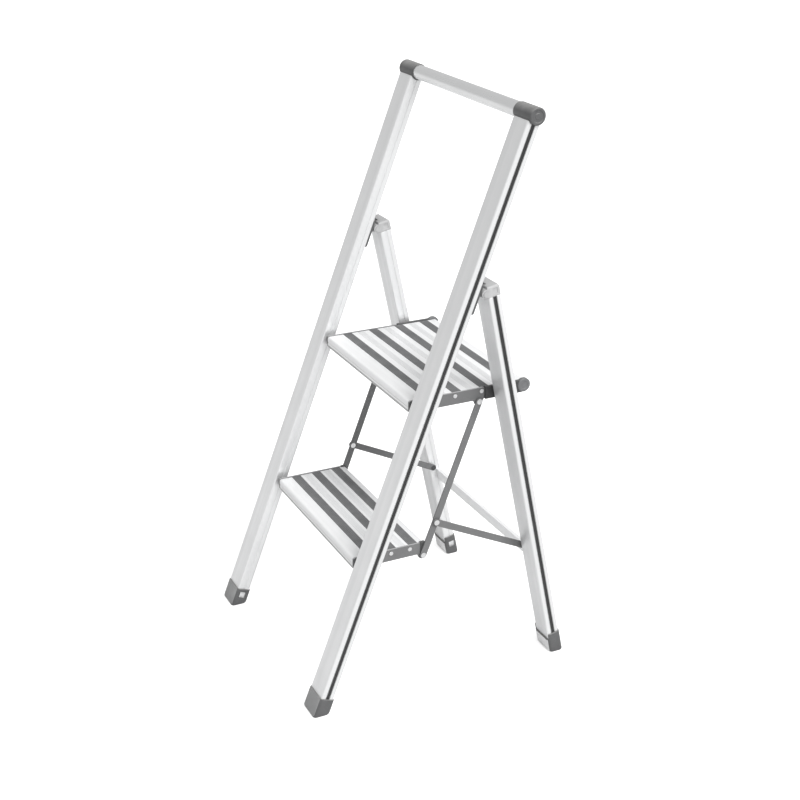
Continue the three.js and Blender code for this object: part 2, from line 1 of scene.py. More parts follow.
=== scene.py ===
"""Folding step ladder: the finished look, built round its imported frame.

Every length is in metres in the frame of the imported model: +X to the right, the front towards -Y and
+Z up, with the floor at zero. Pieces on a leaning side are modelled upright beside it and then laid
against it, so their sizes read as they would on a drawing.
"""

import json
import logging
import math
from dataclasses import dataclass, field
from enum import Enum
from typing import Callable, Iterable, Optional, Sequence

import bmesh
import bpy
from mathutils import Matrix, Vector


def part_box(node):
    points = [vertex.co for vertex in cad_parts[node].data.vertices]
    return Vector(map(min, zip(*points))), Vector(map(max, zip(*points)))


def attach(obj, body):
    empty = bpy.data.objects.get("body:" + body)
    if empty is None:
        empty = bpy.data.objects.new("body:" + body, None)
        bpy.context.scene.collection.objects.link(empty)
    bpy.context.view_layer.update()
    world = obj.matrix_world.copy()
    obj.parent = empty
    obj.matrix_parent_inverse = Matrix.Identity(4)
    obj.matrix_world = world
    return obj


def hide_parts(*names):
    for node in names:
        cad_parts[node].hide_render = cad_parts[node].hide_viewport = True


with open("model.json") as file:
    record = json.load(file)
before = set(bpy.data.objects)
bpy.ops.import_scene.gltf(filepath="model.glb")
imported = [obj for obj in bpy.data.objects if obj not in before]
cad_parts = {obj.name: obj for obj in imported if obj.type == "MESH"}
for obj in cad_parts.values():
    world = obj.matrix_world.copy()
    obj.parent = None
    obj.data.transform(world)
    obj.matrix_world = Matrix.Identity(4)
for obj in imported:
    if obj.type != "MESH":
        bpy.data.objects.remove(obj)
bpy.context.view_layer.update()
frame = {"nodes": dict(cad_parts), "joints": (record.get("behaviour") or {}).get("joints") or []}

LOG = logging.getLogger("ladder")

MM = 0.001
NUDGE = 0.01 * MM
WELD = 0.002 * MM
QUARTER = math.pi / 2

Point = tuple[float, float, float]
Step = tuple[float, float]
Colour = tuple[float, float, float, float]
Sockets = dict[str, bpy.types.NodeSocket]


# ------------------------------------------------------------------ named options
class Side(Enum):
    """The two hands of the ladder, as the sign of X."""

    LEFT = -1
    RIGHT = 1

    @property
    def word(self) -> str:
        """The name used at the front of a handed piece."""
        return self.name.lower()


class Body(str, Enum):
    """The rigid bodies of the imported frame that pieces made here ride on."""

    FRONT = "front_frame"
    REAR = "rear_frame"
    UPPER = "upper_step"
    LOWER = "lower_step"


class Slot(str, Enum):
    """Material slots of the record that pieces made here take."""

    ALUMINIUM = "aluminium"
    STEEL = "bright_steel"
    DARK = "dark_plastic"
    GREY = "grey_plastic"


class Run(Enum):
    """Which way the drawing marks of a profile run."""

    STILE = "up the stile"
    LEG = "up the leg"
    ACROSS = "across the ladder"


# ------------------------------------------------------------------ the two leaning sides
@dataclass(frozen=True)
class Slope:
    """A leaning side: x across, depth back from its front face, along up the profile.

    Args:
        lean: radians back from upright; a leg that leans forward has a negative one.
        foot: y of the line where the front face would meet the floor.
    """

    lean: float
    foot: float

    @property
    def matrix(self) -> Matrix:
        """Carries (x, depth, along) to the frame of the model."""
        return Matrix.Translation((0, self.foot, 0)) @ Matrix.Rotation(-self.lean, 4, "X")

    def point(self, x: float, depth: float, along: float) -> Vector:
        """A point of this side in the frame of the model."""
        return self.matrix @ Vector((x, depth, along))

    def local(self, point: Sequence[float]) -> Vector:
        """A point of the model as (x, depth, along) on this side."""
        return self.matrix.inverted() @ Vector(point)


def joint_place(name: str) -> Vector:
    """The point that a joint of the frame turns about.

    Args:
        name: the joint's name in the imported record.

    Returns:
        Its position in metres.
    """
    found = next(j for j in frame["joints"] if j["name"] == name)
    return Vector(found["pos_m"])


@dataclass(frozen=True)
class Layout:
    """Sizes that several sub-assemblies share.

    Args:
        stile_lean: of the front frame, back from upright.
        leg_lean: of the rear frame, forward from upright.
        stile_depth: of a stile's profile, front to back.
        leg_depth: of a leg's profile, front to back.
        face_out: x of the profiles' outer faces.
        face_in: x of the profiles' inner faces.
        shoe_wall: how far a shoe stands out round its profile.
        tread_half: half the length of a tread.
        gap: clearance between fitted parts.
        pin: radius of the hinge pins.
        plate: thickness of a tread's side plate.
    """

    stile_lean: float = math.radians(21.15)
    leg_lean: float = math.radians(11.92)
    stile_depth: float = 22.5 * MM
    leg_depth: float = 21 * MM
    face_out: float = 210 * MM
    face_in: float = 168 * MM
    shoe_wall: float = 2.2 * MM
    tread_half: float = 155 * MM
    gap: float = 0.3 * MM
    pin: float = 3 * MM
    plate: float = 3 * MM

    @property
    def stile(self) -> Slope:
        """The slope of the front frame."""
        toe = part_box("right_front_foot")[0].y
        return Slope(self.stile_lean, toe + self.shoe_wall / math.cos(self.stile_lean))

    @property
    def leg(self) -> Slope:
        """The slope of the rear frame.

        Returns:
            The slope, whose foot is found from the back of the shoe.
        """
        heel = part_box("right_rear_foot")[1].y
        back = (self.leg_depth + self.shoe_wall) / math.cos(self.leg_lean)
        return Slope(-self.leg_lean, heel - back)

    @property
    def plate_out(self) -> float:
        """Outer face of a tread's side plate."""
        return self.tread_half + self.gap + self.plate

    @property
    def middle(self) -> float:
        """Middle of a profile's face."""
        return (self.face_in + self.face_out) / 2


SIZES = Layout()


# ------------------------------------------------------------------ the bench
class Bench:
    """Modelling steps as they are done by hand, each leaving its mesh in place at the origin."""

    smooth_angle: float = math.radians(32)
    flat_angle: float = math.radians(0.5)
    sharp_angle: float = math.radians(35)

    @staticmethod
    def only(obj: bpy.types.Object) -> bpy.types.Object:
        """Selects one object alone and makes it active.

        Args:
            obj: the object.

        Returns:
            The object.
        """
        bpy.ops.object.select_all(action="DESELECT")
        obj.select_set(True)
        bpy.context.view_layer.objects.active = obj
        return obj

    @classmethod
    def settle(cls, obj: bpy.types.Object) -> bpy.types.Object:
        """Moves an object's place into its mesh.

        Args:
            obj: the object.

        Returns:
            The object, at the origin, unturned and unscaled.
        """
        cls.only(obj)
        bpy.ops.object.transform_apply(location=True, rotation=True, scale=True)
        return obj

    @classmethod
    def block(cls, name: str, low: Point, high: Point) -> bpy.types.Object:
        """A box between two corners.

        Args:
            name: the object's name.
            low: its lowest corner.
            high: its highest corner.

        Returns:
            The box, with its place in its mesh.
        """
        bpy.ops.object.select_all(action="DESELECT")
        middle = [(a + b) / 2 for a, b in zip(low, high)]
        size = [b - a for a, b in zip(low, high)]
        bpy.ops.mesh.primitive_cube_add(size=1, location=middle, scale=size)
        obj = bpy.context.active_object
        obj.name = obj.data.name = name
        return cls.settle(obj)

    @classmethod
    def turned(
        cls,
        name: str,
        centre: Step,
        steps: Sequence[Step],
        sides: int = 48,
        ring: bool = False,
    ) -> bpy.types.Object:
        """A turned piece on an axis along X, drawn out and sized step by step.

        Args:
            name: the object's name.
            centre: (y, z) of the axis.
            steps: (x, radius) pairs along the outline.
            sides: faces round the axis.
            ring: True where the outline comes back to its start, as on a washer.

        Returns:
            The closed piece.
        """
        bpy.ops.object.select_all(action="DESELECT")
        bpy.ops.mesh.primitive_circle_add(
            vertices=sides,
            radius=steps[0][1],
            fill_type="NOTHING" if ring else "NGON",
            location=(steps[0][0], *centre),
            rotation=(0, QUARTER, 0),
        )
        obj = bpy.context.active_object
        obj.name = obj.data.name = name
        cls.settle(obj)
        bpy.ops.object.mode_set(mode="EDIT")
        bpy.ops.mesh.select_all(action="SELECT")
        for (x0, r0), (x1, r1) in zip(steps, steps[1:]):
            bpy.ops.mesh.extrude_region_move(TRANSFORM_OT_translate={"value": (x1 - x0, 0, 0)})
            bpy.ops.transform.resize(value=(1, r1 / r0, r1 / r0), center_override=(x1, *centre))
        bpy.ops.mesh.select_all(action="SELECT")
        bpy.ops.mesh.remove_doubles(threshold=WELD / 2)
        bpy.ops.mesh.normals_make_consistent(inside=False)
        bpy.ops.object.mode_set(mode="OBJECT")
        return obj

    @classmethod
    def carve(
        cls,
        obj: bpy.types.Object,
        tools: Iterable[bpy.types.Object],
        operation: str = "DIFFERENCE",
    ) -> bpy.types.Object:
        """Cuts tools out of a piece, or joins them to it, and puts the tools away.

        Args:
            obj: the piece.
            tools: closed meshes.
            operation: DIFFERENCE to cut or UNION to join.

        Returns:
            The piece.
        """
        for tool in tools:
            cls.modify(obj, "BOOLEAN", operation=operation, object=tool, solver="EXACT")
            bpy.data.objects.remove(tool)
        return obj

    @classmethod
    def modify(cls, obj: bpy.types.Object, kind: str, **settings: object) -> bpy.types.Object:
        """Adds a modifier and applies it.

        Args:
            obj: the piece.
            kind: the modifier's type.
            settings: the modifier's own properties.

        Returns:
            The piece.
        """
        cls.only(obj)
        modifier = obj.modifiers.new(kind.title(), kind)
        for key, value in settings.items():
            setattr(modifier, key, value)
        bpy.ops.object.modifier_apply(modifier=modifier.name)
        return obj

    @classmethod
    def round_edges(
        cls,
        obj: bpy.types.Object,
        test: Callable[[bmesh.types.BMEdge], bool],
        radius: float,
        segments: int,
    ) -> None:
        """Rounds the edges that pass a test.

        Args:
            obj: the piece.
            test: says which edges are rounded.
            radius: of the rounding.
            segments: faces across it.
        """
        with Editing(obj) as edit:
            edit.pick_edges(test)
            bpy.ops.mesh.bevel(offset=radius, segments=segments, affect="EDGES")

    @classmethod
    def soften(cls, obj: bpy.types.Object, width: float, segments: int = 2) -> bpy.types.Object:
        """Rounds every sharp edge a little.

        Args:
            obj: the piece.
            width: how far the rounding reaches from the edge.
            segments: faces across the rounding.

        Returns:
            The piece, merged and shaded smooth between its edges.
        """
        with Editing(obj):
            bpy.ops.mesh.select_all(action="SELECT")
            bpy.ops.mesh.remove_doubles(threshold=WELD)
            bpy.ops.mesh.dissolve_limited(angle_limit=cls.flat_angle)
        cls.modify(
            obj,
            "BEVEL",
            width=width,
            segments=segments,
            limit_method="ANGLE",
            angle_limit=cls.sharp_angle,
            use_clamp_overlap=True,
            harden_normals=False,
        )
        return cls.finish(obj)

    @classmethod
    def finish(cls, obj: bpy.types.Object) -> bpy.types.Object:
        """Merges what touches, turns faces outwards and shades the piece.

        Args:
            obj: the piece.

        Returns:
            The piece.
        """
        with Editing(obj):
            bpy.ops.mesh.select_all(action="SELECT")
            bpy.ops.mesh.remove_doubles(threshold=WELD)
            bpy.ops.mesh.normals_make_consistent(inside=False)
        cls.only(obj)
        bpy.ops.object.shade_smooth_by_angle(angle=cls.smooth_angle)
        return obj

    @classmethod
    def lay(cls, obj: bpy.types.Object, slope: Slope) -> bpy.types.Object:
        """Lays a piece that was modelled upright on its leaning side, and leaves it there."""
        obj.matrix_world = slope.matrix @ obj.matrix_world
        return cls.settle(obj)

    @classmethod
    def copy(
        cls, obj: bpy.types.Object, name: str, shift: Point = (0, 0, 0), scale: Point = (1, 1, 1)
    ) -> bpy.types.Object:
        """Copies a piece.

        Args:
            obj: the piece.
            name: the copy's name.
            shift: how far the copy is moved.
            scale: its size along each axis, for the first piece's 1.

        Returns:
            The copy, with its own mesh.
        """
        twin = obj.copy()
        twin.data = obj.data.copy()
        twin.name = twin.data.name = name
        bpy.context.scene.collection.objects.link(twin)
        twin.location, twin.scale = shift, scale
        return cls.settle(twin)

    @classmethod
    def mirrored(cls, obj: bpy.types.Object, name: str) -> bpy.types.Object:
        """The same piece for the other hand, with its faces outwards again."""
        return cls.finish(cls.copy(obj, name, scale=(-1, 1, 1)))


class Editing:
    """Edit mode on one object, with selections made by place or direction."""

    def __init__(self, obj: bpy.types.Object) -> None:
        """Takes the object to edit."""
        self.obj = obj

    def __enter__(self) -> "Editing":
        """Enters edit mode with nothing selected.

        Returns:
            Itself, to select with.
        """
        Bench.only(self.obj)
        bpy.ops.object.mode_set(mode="EDIT")
        bpy.ops.mesh.select_all(action="DESELECT")
        return self

    def __exit__(self, *_: object) -> None:
        """Leaves edit mode."""
        bpy.ops.object.mode_set(mode="OBJECT")

    def _pick(self, kind: str, mode: str, test: Callable[[object], bool]) -> None:
        """Selects the elements that pass the test.

        Args:
            kind: edges or faces.
            mode: the select mode that goes with them.
            test: says which are selected.
        """
        bpy.ops.mesh.select_all(action="DESELECT")
        bpy.ops.mesh.select_mode(type=mode)
        mesh = bmesh.from_edit_mesh(self.obj.data)
        for element in [e for e in getattr(mesh, kind) if test(e)]:
            element.select_set(True)
        mesh.select_flush_mode()
        bmesh.update_edit_mesh(self.obj.data)

    def pick_edges(self, test: Callable[[bmesh.types.BMEdge], bool]) -> None:
        """Selects edges."""
        self._pick("edges", "EDGE", test)

    def pick_faces(self, test: Callable[[bmesh.types.BMFace], bool]) -> None:
        """Selects faces."""
        self._pick("faces", "FACE", test)


def runs_along(edge: bmesh.types.BMEdge, axis: int) -> bool:
    """True for an edge parallel to one axis."""
    run = edge.verts[1].co - edge.verts[0].co
    return abs(run[axis]) > 0.999 * run.length


def faces_way(face: bmesh.types.BMFace, axis: int, sign: int) -> bool:
    """True for a face that looks along one axis, in the direction of sign."""
    return face.normal[axis] * sign > 0.99


# ------------------------------------------------------------------ shader groups
class Graph:
    """Places and joins shader nodes in one tree."""

    def __init__(self, tree: bpy.types.NodeTree) -> None:
        """Takes the tree to work in."""
        self.tree = tree

    def add(
        self, kind: str, inputs: Optional[dict] = None, **settings: object
    ) -> bpy.types.Node:
        """Adds a node.

        Args:
            kind: the node's type.
            inputs: a value or another node's socket for each of its inputs, by name or number.
            settings: the node's own properties.

        Returns:
            The node.
        """
        node = self.tree.nodes.new(kind)
        for key, value in settings.items():
            setattr(node, key, value)
        for key, value in (inputs or {}).items():
            if isinstance(value, bpy.types.NodeSocket):
                self.tree.links.new(value, node.inputs[key])
            else:
                node.inputs[key].default_value = value
        return node

    def maths(self, operation: str, a: object, b: object = 0.0) -> bpy.types.NodeSocket:
        """The result of a Math node."""
        return self.add("ShaderNodeMath", {0: a, 1: b}, operation=operation).outputs[0]

    def blend(self, share: object, a: object, b: object) -> bpy.types.NodeSocket:
        """Two colours mixed by share."""
        node = self.add("ShaderNodeMix", {0: share, 6: a, 7: b}, data_type="RGBA")
        return node.outputs[2]

    def cover(self, colour: object, mask: object, share: float, paint: object) -> bpy.types.NodeSocket:
        """A colour with a share of paint over it where the mask says."""
        return self.blend(self.maths("MULTIPLY", mask, share), colour, paint)

    def noise(
        self, place: object, scale: object, detail: float, rough: float = 0.5
    ) -> bpy.types.Node:
        """A Noise Texture node.

        Args:
            place: the coordinates that it reads.
            scale: how fine it is.
            detail: how many finer noises are in it.
            rough: how strong those are.

        Returns:
            The node, its value in the first output and its colour in the second.
        """
        inputs = {"Vector": place, "Scale": scale, "Detail": detail, "Roughness": rough}
        return self.add("ShaderNodeTexNoise", inputs)

    def remap(
        self, value: object, low: float, high: float, start: float = 0.0, end: float = 1.0
    ) -> bpy.types.NodeSocket:
        """A value carried from one range to another, and held at its ends.

        Args:
            value: the value.
            low: where its range starts.
            high: where its range ends.
            start: the result at low.
            end: the result at high.

        Returns:
            The result.
        """
        node = self.add(
            "ShaderNodeMapRange",
            {"Value": value, "From Min": low, "From Max": high, "To Min": start, "To Max": end},
        )
        return node.outputs[0]


@dataclass
class Effect:
    """A shader node group with named inputs and outputs, built once.

    Args:
        name: the group's name.
        inputs: (name, socket type, value) for each input.
        outputs: (name, socket type) for each output.
    """

    name: str
    inputs: Sequence[tuple[str, str, object]]
    outputs: Sequence[tuple[str, str]]
    tree: bpy.types.NodeTree = field(init=False)

    def __post_init__(self) -> None:
        """Makes the sockets, then the nodes between them."""
        self.tree = bpy.data.node_groups.new(self.name, "ShaderNodeTree")
        for name, kind, value in self.inputs:
            made = self.tree.interface.new_socket(name, in_out="INPUT", socket_type=kind)
            if value is not None:
                made.default_value = value
        for name, kind in self.outputs:
            self.tree.interface.new_socket(name, in_out="OUTPUT", socket_type=kind)
        graph = Graph(self.tree)
        source = graph.add("NodeGroupInput")
        results = self.build(graph, source)
        sink = graph.add("NodeGroupOutput")
        for name, socket in results.items():
            self.tree.links.new(socket, sink.inputs[name])

    def build(self, graph: Graph, source: bpy.types.Node) -> Sockets:
        """Makes the group's nodes; each effect has its own.

        Args:
            graph: the group's tree.
            source: its input node.

        Returns:
            A socket for each output, by name.
        """
        raise NotImplementedError

    def place(self, graph: Graph, **inputs: object) -> bpy.types.Node:
        """Puts the group in a material.

        Args:
            graph: the material's tree.
            inputs: a value or another node's socket for each input, named in lower case.

        Returns:
            The group's node.
        """
        node = graph.add("ShaderNodeGroup", node_tree=self.tree)
        for key, value in inputs.items():
            socket = node.inputs[key.replace("_", " ").title()]
            if isinstance(value, bpy.types.NodeSocket):
                graph.tree.links.new(value, socket)
            else:
                socket.default_value = value
        return node


FLOAT, VECTOR = "NodeSocketFloat", "NodeSocketVector"


class EdgeWear(Effect):
    """Finds the edges of a piece: a broken mask along them and a normal that rounds them."""

    def __init__(self) -> None:
        """Names the group and its sockets."""
        super().__init__(
            "Edge Wear",
            [("Radius", FLOAT, 0.0008), ("Breakup", FLOAT, 220.0), ("Amount", FLOAT, 0.5),
             ("Vector", VECTOR, None)],
            [("Mask", FLOAT), ("Normal", VECTOR)],
        )

    def build(self, graph: Graph, source: bpy.types.Node) -> Sockets:
        """Compares the rounded normal with the flat one and breaks the result up with noise.

        Args:
            graph: the group's tree.
            source: its input node.

        Returns:
            The mask and the normal.
        """
        rounded = graph.add("ShaderNodeBevel", {"Radius": source.outputs["Radius"]}, samples=6)
        flat = graph.add("ShaderNodeNewGeometry").outputs["True Normal"]
        match = graph.add(
            "ShaderNodeVectorMath", {0: rounded.outputs[0], 1: flat}, operation="DOT_PRODUCT"
        )
        edge = graph.remap(graph.maths("SUBTRACT", 1.0, match.outputs["Value"]), 0.02, 0.22)
        noise = graph.noise(source.outputs["Vector"], source.outputs["Breakup"], 5.0)
        broken = graph.maths("MULTIPLY", edge, graph.remap(noise.outputs[0], 0.42, 0.62))
        mask = graph.maths("MULTIPLY", broken, source.outputs["Amount"])
        return {"Mask": mask, "Normal": rounded.outputs[0]}


class DrawnMarks(Effect):
    """The fine lines that drawing through a die leaves along a profile, with slow bands under them."""

    def __init__(self) -> None:
        """Names the group and its sockets."""
        super().__init__(
            "Drawn Marks",
            [("Vector", VECTOR, None), ("Pitch", FLOAT, 1500.0), ("Stretch", FLOAT, 0.02)],
            [("Line", FLOAT), ("Band", FLOAT)],
        )

    def build(self, graph: Graph, source: bpy.types.Node) -> Sockets:
        """Noise that is drawn out along the third axis of the vector.

        Args:
            graph: the group's tree.
            source: its input node.

        Returns:
            The fine lines and the slow bands.
        """
        parts = graph.add("ShaderNodeSeparateXYZ", {0: source.outputs["Vector"]})
        along = graph.maths("MULTIPLY", parts.outputs[2], source.outputs["Stretch"])
        drawn = graph.add(
            "ShaderNodeCombineXYZ", {0: parts.outputs[0], 1: parts.outputs[1], 2: along}
        ).outputs[0]
        line = graph.noise(drawn, source.outputs["Pitch"], 3.0)
        slow = graph.maths("MULTIPLY", source.outputs["Pitch"], 0.07)
        band = graph.noise(drawn, slow, 2.0)
        return {
            "Line": graph.remap(line.outputs[0], 0.3, 0.7),
            "Band": graph.remap(band.outputs[0], 0.35, 0.65),
        }


class MouldedGrain(Effect):
    """The fine leather-like grain of a moulded part, and specks of a lighter tone."""

    def __init__(self) -> None:
        """Names the group and its sockets."""
        super().__init__(
            "Moulded Grain",
            [("Vector", VECTOR, None), ("Scale", FLOAT, 1400.0)],
            [("Height", FLOAT), ("Speck", FLOAT)],
        )

    def build(self, graph: Graph, source: bpy.types.Node) -> Sockets:
        """Cells for the grain, with noise across them.

        Args:
            graph: the group's tree.
            source: its input node.

        Returns:
            The grain's height and the specks.
        """
        cells = graph.add(
            "ShaderNodeTexVoronoi",
            {"Vector": source.outputs["Vector"], "Scale": source.outputs["Scale"]},
            feature="SMOOTH_F1",
        )
        fine = graph.noise(source.outputs["Vector"], source.outputs["Scale"], 4.0)
        height = graph.maths("ADD", cells.outputs["Distance"], fine.outputs[0])
        return {"Height": height, "Speck": graph.remap(fine.outputs[0], 0.55, 0.75)}


class Handling(Effect):
    """What use leaves: smudges where hands go, and dust on faces that look up."""

    def __init__(self) -> None:
        """Names the group and its sockets."""
        super().__init__(
            "Handling",
            [("Vector", VECTOR, None), ("Scale", FLOAT, 18.0)],
            [("Smudge", FLOAT), ("Dust", FLOAT), ("Scratch", FLOAT)],
        )

    def build(self, graph: Graph, source: bpy.types.Node) -> Sockets:
        """Slow noise for smudges, the upward share of the normal for dust, cell edges for scratches.

        Args:
            graph: the group's tree.
            source: its input node.

        Returns:
            The smudges, the dust and the scratches.
        """
        cloud = graph.noise(source.outputs["Vector"], source.outputs["Scale"], 6.0, 0.62)
        normal = graph.add("ShaderNodeNewGeometry").outputs["Normal"]
        up = graph.add("ShaderNodeSeparateXYZ", {0: normal}).outputs[2]
        settled = graph.maths("MULTIPLY", graph.remap(up, 0.3, 1.0), cloud.outputs[0])
        far = graph.maths("MULTIPLY", source.outputs["Scale"], 3.4)
        bent = graph.blend(0.12, source.outputs["Vector"], cloud.outputs[1])
        cracks = graph.add(
            "ShaderNodeTexVoronoi", {"Vector": bent, "Scale": far}, feature="DISTANCE_TO_EDGE"
        )
        hair = graph.remap(cracks.outputs["Distance"], 0.0, 0.006, 1.0, 0.0)
        patchy = graph.maths("MULTIPLY", hair, graph.remap(cloud.outputs[0], 0.52, 0.66))
        return {
            "Smudge": graph.remap(cloud.outputs[0], 0.4, 0.72),
            "Dust": settled,
            "Scratch": patchy,
        }


@dataclass
class Effects:
    """The groups that every finish takes its detail from."""

    wear: EdgeWear = field(default_factory=EdgeWear)
    marks: DrawnMarks = field(default_factory=DrawnMarks)
    grain: MouldedGrain = field(default_factory=MouldedGrain)
    handling: Handling = field(default_factory=Handling)


EFFECTS = Effects()


# ------------------------------------------------------------------ finishes
DUST: Colour = (0.42, 0.415, 0.4, 1.0)
LINT: Colour = (0.45, 0.445, 0.435, 1.0)


def grey(tone: float) -> Colour:
    """A neutral colour."""
    return (tone, tone, tone, 1.0)


@dataclass(frozen=True)
class Finish:
    """What all finishes share.

    Args:
        name: the material's name.
        colour: the base colour.
        rough: the roughness.
        worn: the colour that an edge wears to.
        wear: how much of that shows.
        edge: how far an edge is rounded and worn.
    """

    name: str
    colour: Colour
    rough: float
    worn: Colour = grey(0.7)
    wear: float = 0.3
    edge: float = 0.6 * MM

    def material(self) -> bpy.types.Material:
        """The finish as a material, built the first time it is asked for.

        Returns:
            The material.
        """
        made = bpy.data.materials.get(self.name)
        if made is None:
            made = bpy.data.materials.new(self.name)
            made.use_nodes = True
            made.node_tree.nodes.clear()
            graph = Graph(made.node_tree)
            shader = graph.add("ShaderNodeBsdfPrincipled")
            output = graph.add("ShaderNodeOutputMaterial")
            made.node_tree.links.new(shader.outputs[0], output.inputs[0])
            place = graph.add("ShaderNodeTexCoord").outputs["Object"]
            self.dress(graph, shader, place)
        return made

    def dress(
        self, graph: Graph, shader: bpy.types.Node, place: bpy.types.NodeSocket
    ) -> None:
        """Feeds the shader; each finish has its own way.

        Args:
            graph: the material's tree.
            shader: its Principled BSDF.
            place: the piece's own coordinates.
        """
        raise NotImplementedError

    def tint(self, share: float) -> Colour:
        """The base colour made darker or lighter, and no lighter than white."""
        red, green, blue = (min(1.0, c * share) for c in self.colour[:3])
        return (red, green, blue, 1.0)

    def edges(self, graph: Graph, place: bpy.types.NodeSocket, breakup: float) -> bpy.types.Node:
        """Edge wear as wide and as strong as this finish has it.

        Args:
            graph: the material's tree.
            place: the piece's own coordinates.
            breakup: how fine the gaps in the wear are.

        Returns:
            The node of the effect.
        """
        return EFFECTS.wear.place(
            graph, vector=place, radius=self.edge, breakup=breakup, amount=self.wear
        )

    def relief(
        self,
        graph: Graph,
        height: bpy.types.NodeSocket,
        wear: bpy.types.Node,
        strength: float,
        depth: float,
    ) -> bpy.types.NodeSocket:
        """A bump over the rounded edges.

        Args:
            graph: the material's tree.
            height: the pattern.
            wear: the edge wear, whose normal it starts from.
            strength: of the bump.
            depth: of the pattern.

        Returns:
            The normal.
        """
        inputs = {
            "Height": height, "Normal": wear.outputs["Normal"], "Strength": strength,
            "Distance": depth,
        }
        return graph.add("ShaderNodeBump", inputs).outputs[0]

    def join(self, graph: Graph, shader: bpy.types.Node, **sockets: bpy.types.NodeSocket) -> None:
        """Links results to the shader's inputs, named in lower case."""
        for key, socket in sockets.items():
            graph.tree.links.new(socket, shader.inputs[key.replace("_", " ").title()])


@dataclass(frozen=True)
class Anodised(Finish):
    """Satin anodised aluminium that was drawn through a die.

    Args:
        run: which way the drawing marks run.
        metal: how metallic the satin is.
        line_depth: how deep the marks are.
        pitch: marks in a metre.
        stretch: how much slower they change along the profile.
        band: tone of the darker bands.
        soil: tone of smudges and scratches.
        smudged: how much of the smudges shows.
        scratched: how much of the scratches shows.
    """

    run: Run = Run.STILE
    metal: float = 0.6
    line_depth: float = 0.05 * MM
    pitch: float = 900.0
    stretch: float = 0.012
    band: float = 0.93
    soil: float = 0.86
    smudged: float = 0.3
    scratched: float = 0.4

    def turn(self) -> Point:
        """The rotation that lines the pattern's third axis up with the profile.

        Returns:
            Its angles about x, y and z.
        """
        angles = {
            Run.STILE: (-SIZES.stile_lean, 0.0, 0.0),
            Run.LEG: (SIZES.leg_lean, 0.0, 0.0),
            Run.ACROSS: (0.0, QUARTER, 0.0),
        }
        return angles[self.run]

    def dress(
        self, graph: Graph, shader: bpy.types.Node, place: bpy.types.NodeSocket
    ) -> None:
        """Drawing marks in the roughness and the bump, smudges, and brighter edges.

        Args:
            graph: the material's tree.
            shader: its Principled BSDF.
            place: the piece's own coordinates.
        """
        mapping = graph.add("ShaderNodeMapping", {"Vector": place}, vector_type="TEXTURE")
        mapping.inputs["Rotation"].default_value = self.turn()
        marks = EFFECTS.marks.place(
            graph, vector=mapping.outputs[0], pitch=self.pitch, stretch=self.stretch
        )
        use = EFFECTS.handling.place(graph, vector=place, scale=14.0)
        wear = self.edges(graph, place, 180.0)
        soiled = self.tint(self.soil)
        colour = graph.blend(marks.outputs["Band"], self.tint(self.band), self.colour)
        colour = graph.cover(colour, use.outputs["Smudge"], self.smudged, soiled)
        colour = graph.cover(colour, use.outputs["Scratch"], self.scratched, soiled)
        colour = graph.blend(wear.outputs["Mask"], colour, self.worn)
        line = marks.outputs["Line"]
        rough = graph.remap(line, 0.0, 1.0, self.rough - 0.05, self.rough + 0.06)
        rough = graph.maths("ADD", rough, graph.maths("MULTIPLY", use.outputs["Smudge"], 0.1))
        normal = self.relief(graph, line, wear, 0.35, self.line_depth)
        shader.inputs["Metallic"].default_value = self.metal
        self.join(graph, shader, base_color=colour, roughness=rough, normal=normal)


@dataclass(frozen=True)
class Plated(Finish):
    """Bright plated steel of pins and rivets, with turning marks and a little tarnish.

    Args:
        tarnish: its tone.
        tarnished: how much of it shows.
        depth: how deep the turning marks are.
    """

    tarnish: float = 0.6
    tarnished: float = 0.45
    depth: float = 0.02 * MM

    def dress(
        self, graph: Graph, shader: bpy.types.Node, place: bpy.types.NodeSocket
    ) -> None:
        """Fine noise in the roughness and the bump, tarnish in the colour.

        Args:
            graph: the material's tree.
            shader: its Principled BSDF.
            place: the piece's own coordinates.
        """
        use = EFFECTS.handling.place(graph, vector=place, scale=160.0)
        grain = EFFECTS.grain.place(graph, vector=place, scale=2600.0)
        wear = self.edges(graph, place, 700.0)
        smudge = use.outputs["Smudge"]
        colour = graph.cover(self.colour, smudge, self.tarnished, self.tint(self.tarnish))
        colour = graph.blend(wear.outputs["Mask"], colour, self.worn)
        rough = graph.remap(smudge, 0.0, 1.0, self.rough, self.rough + 0.18)
        normal = self.relief(graph, grain.outputs["Height"], wear, 0.2, self.depth)
        shader.inputs["Metallic"].default_value = 1.0
        self.join(graph, shader, base_color=colour, roughness=rough, normal=normal)


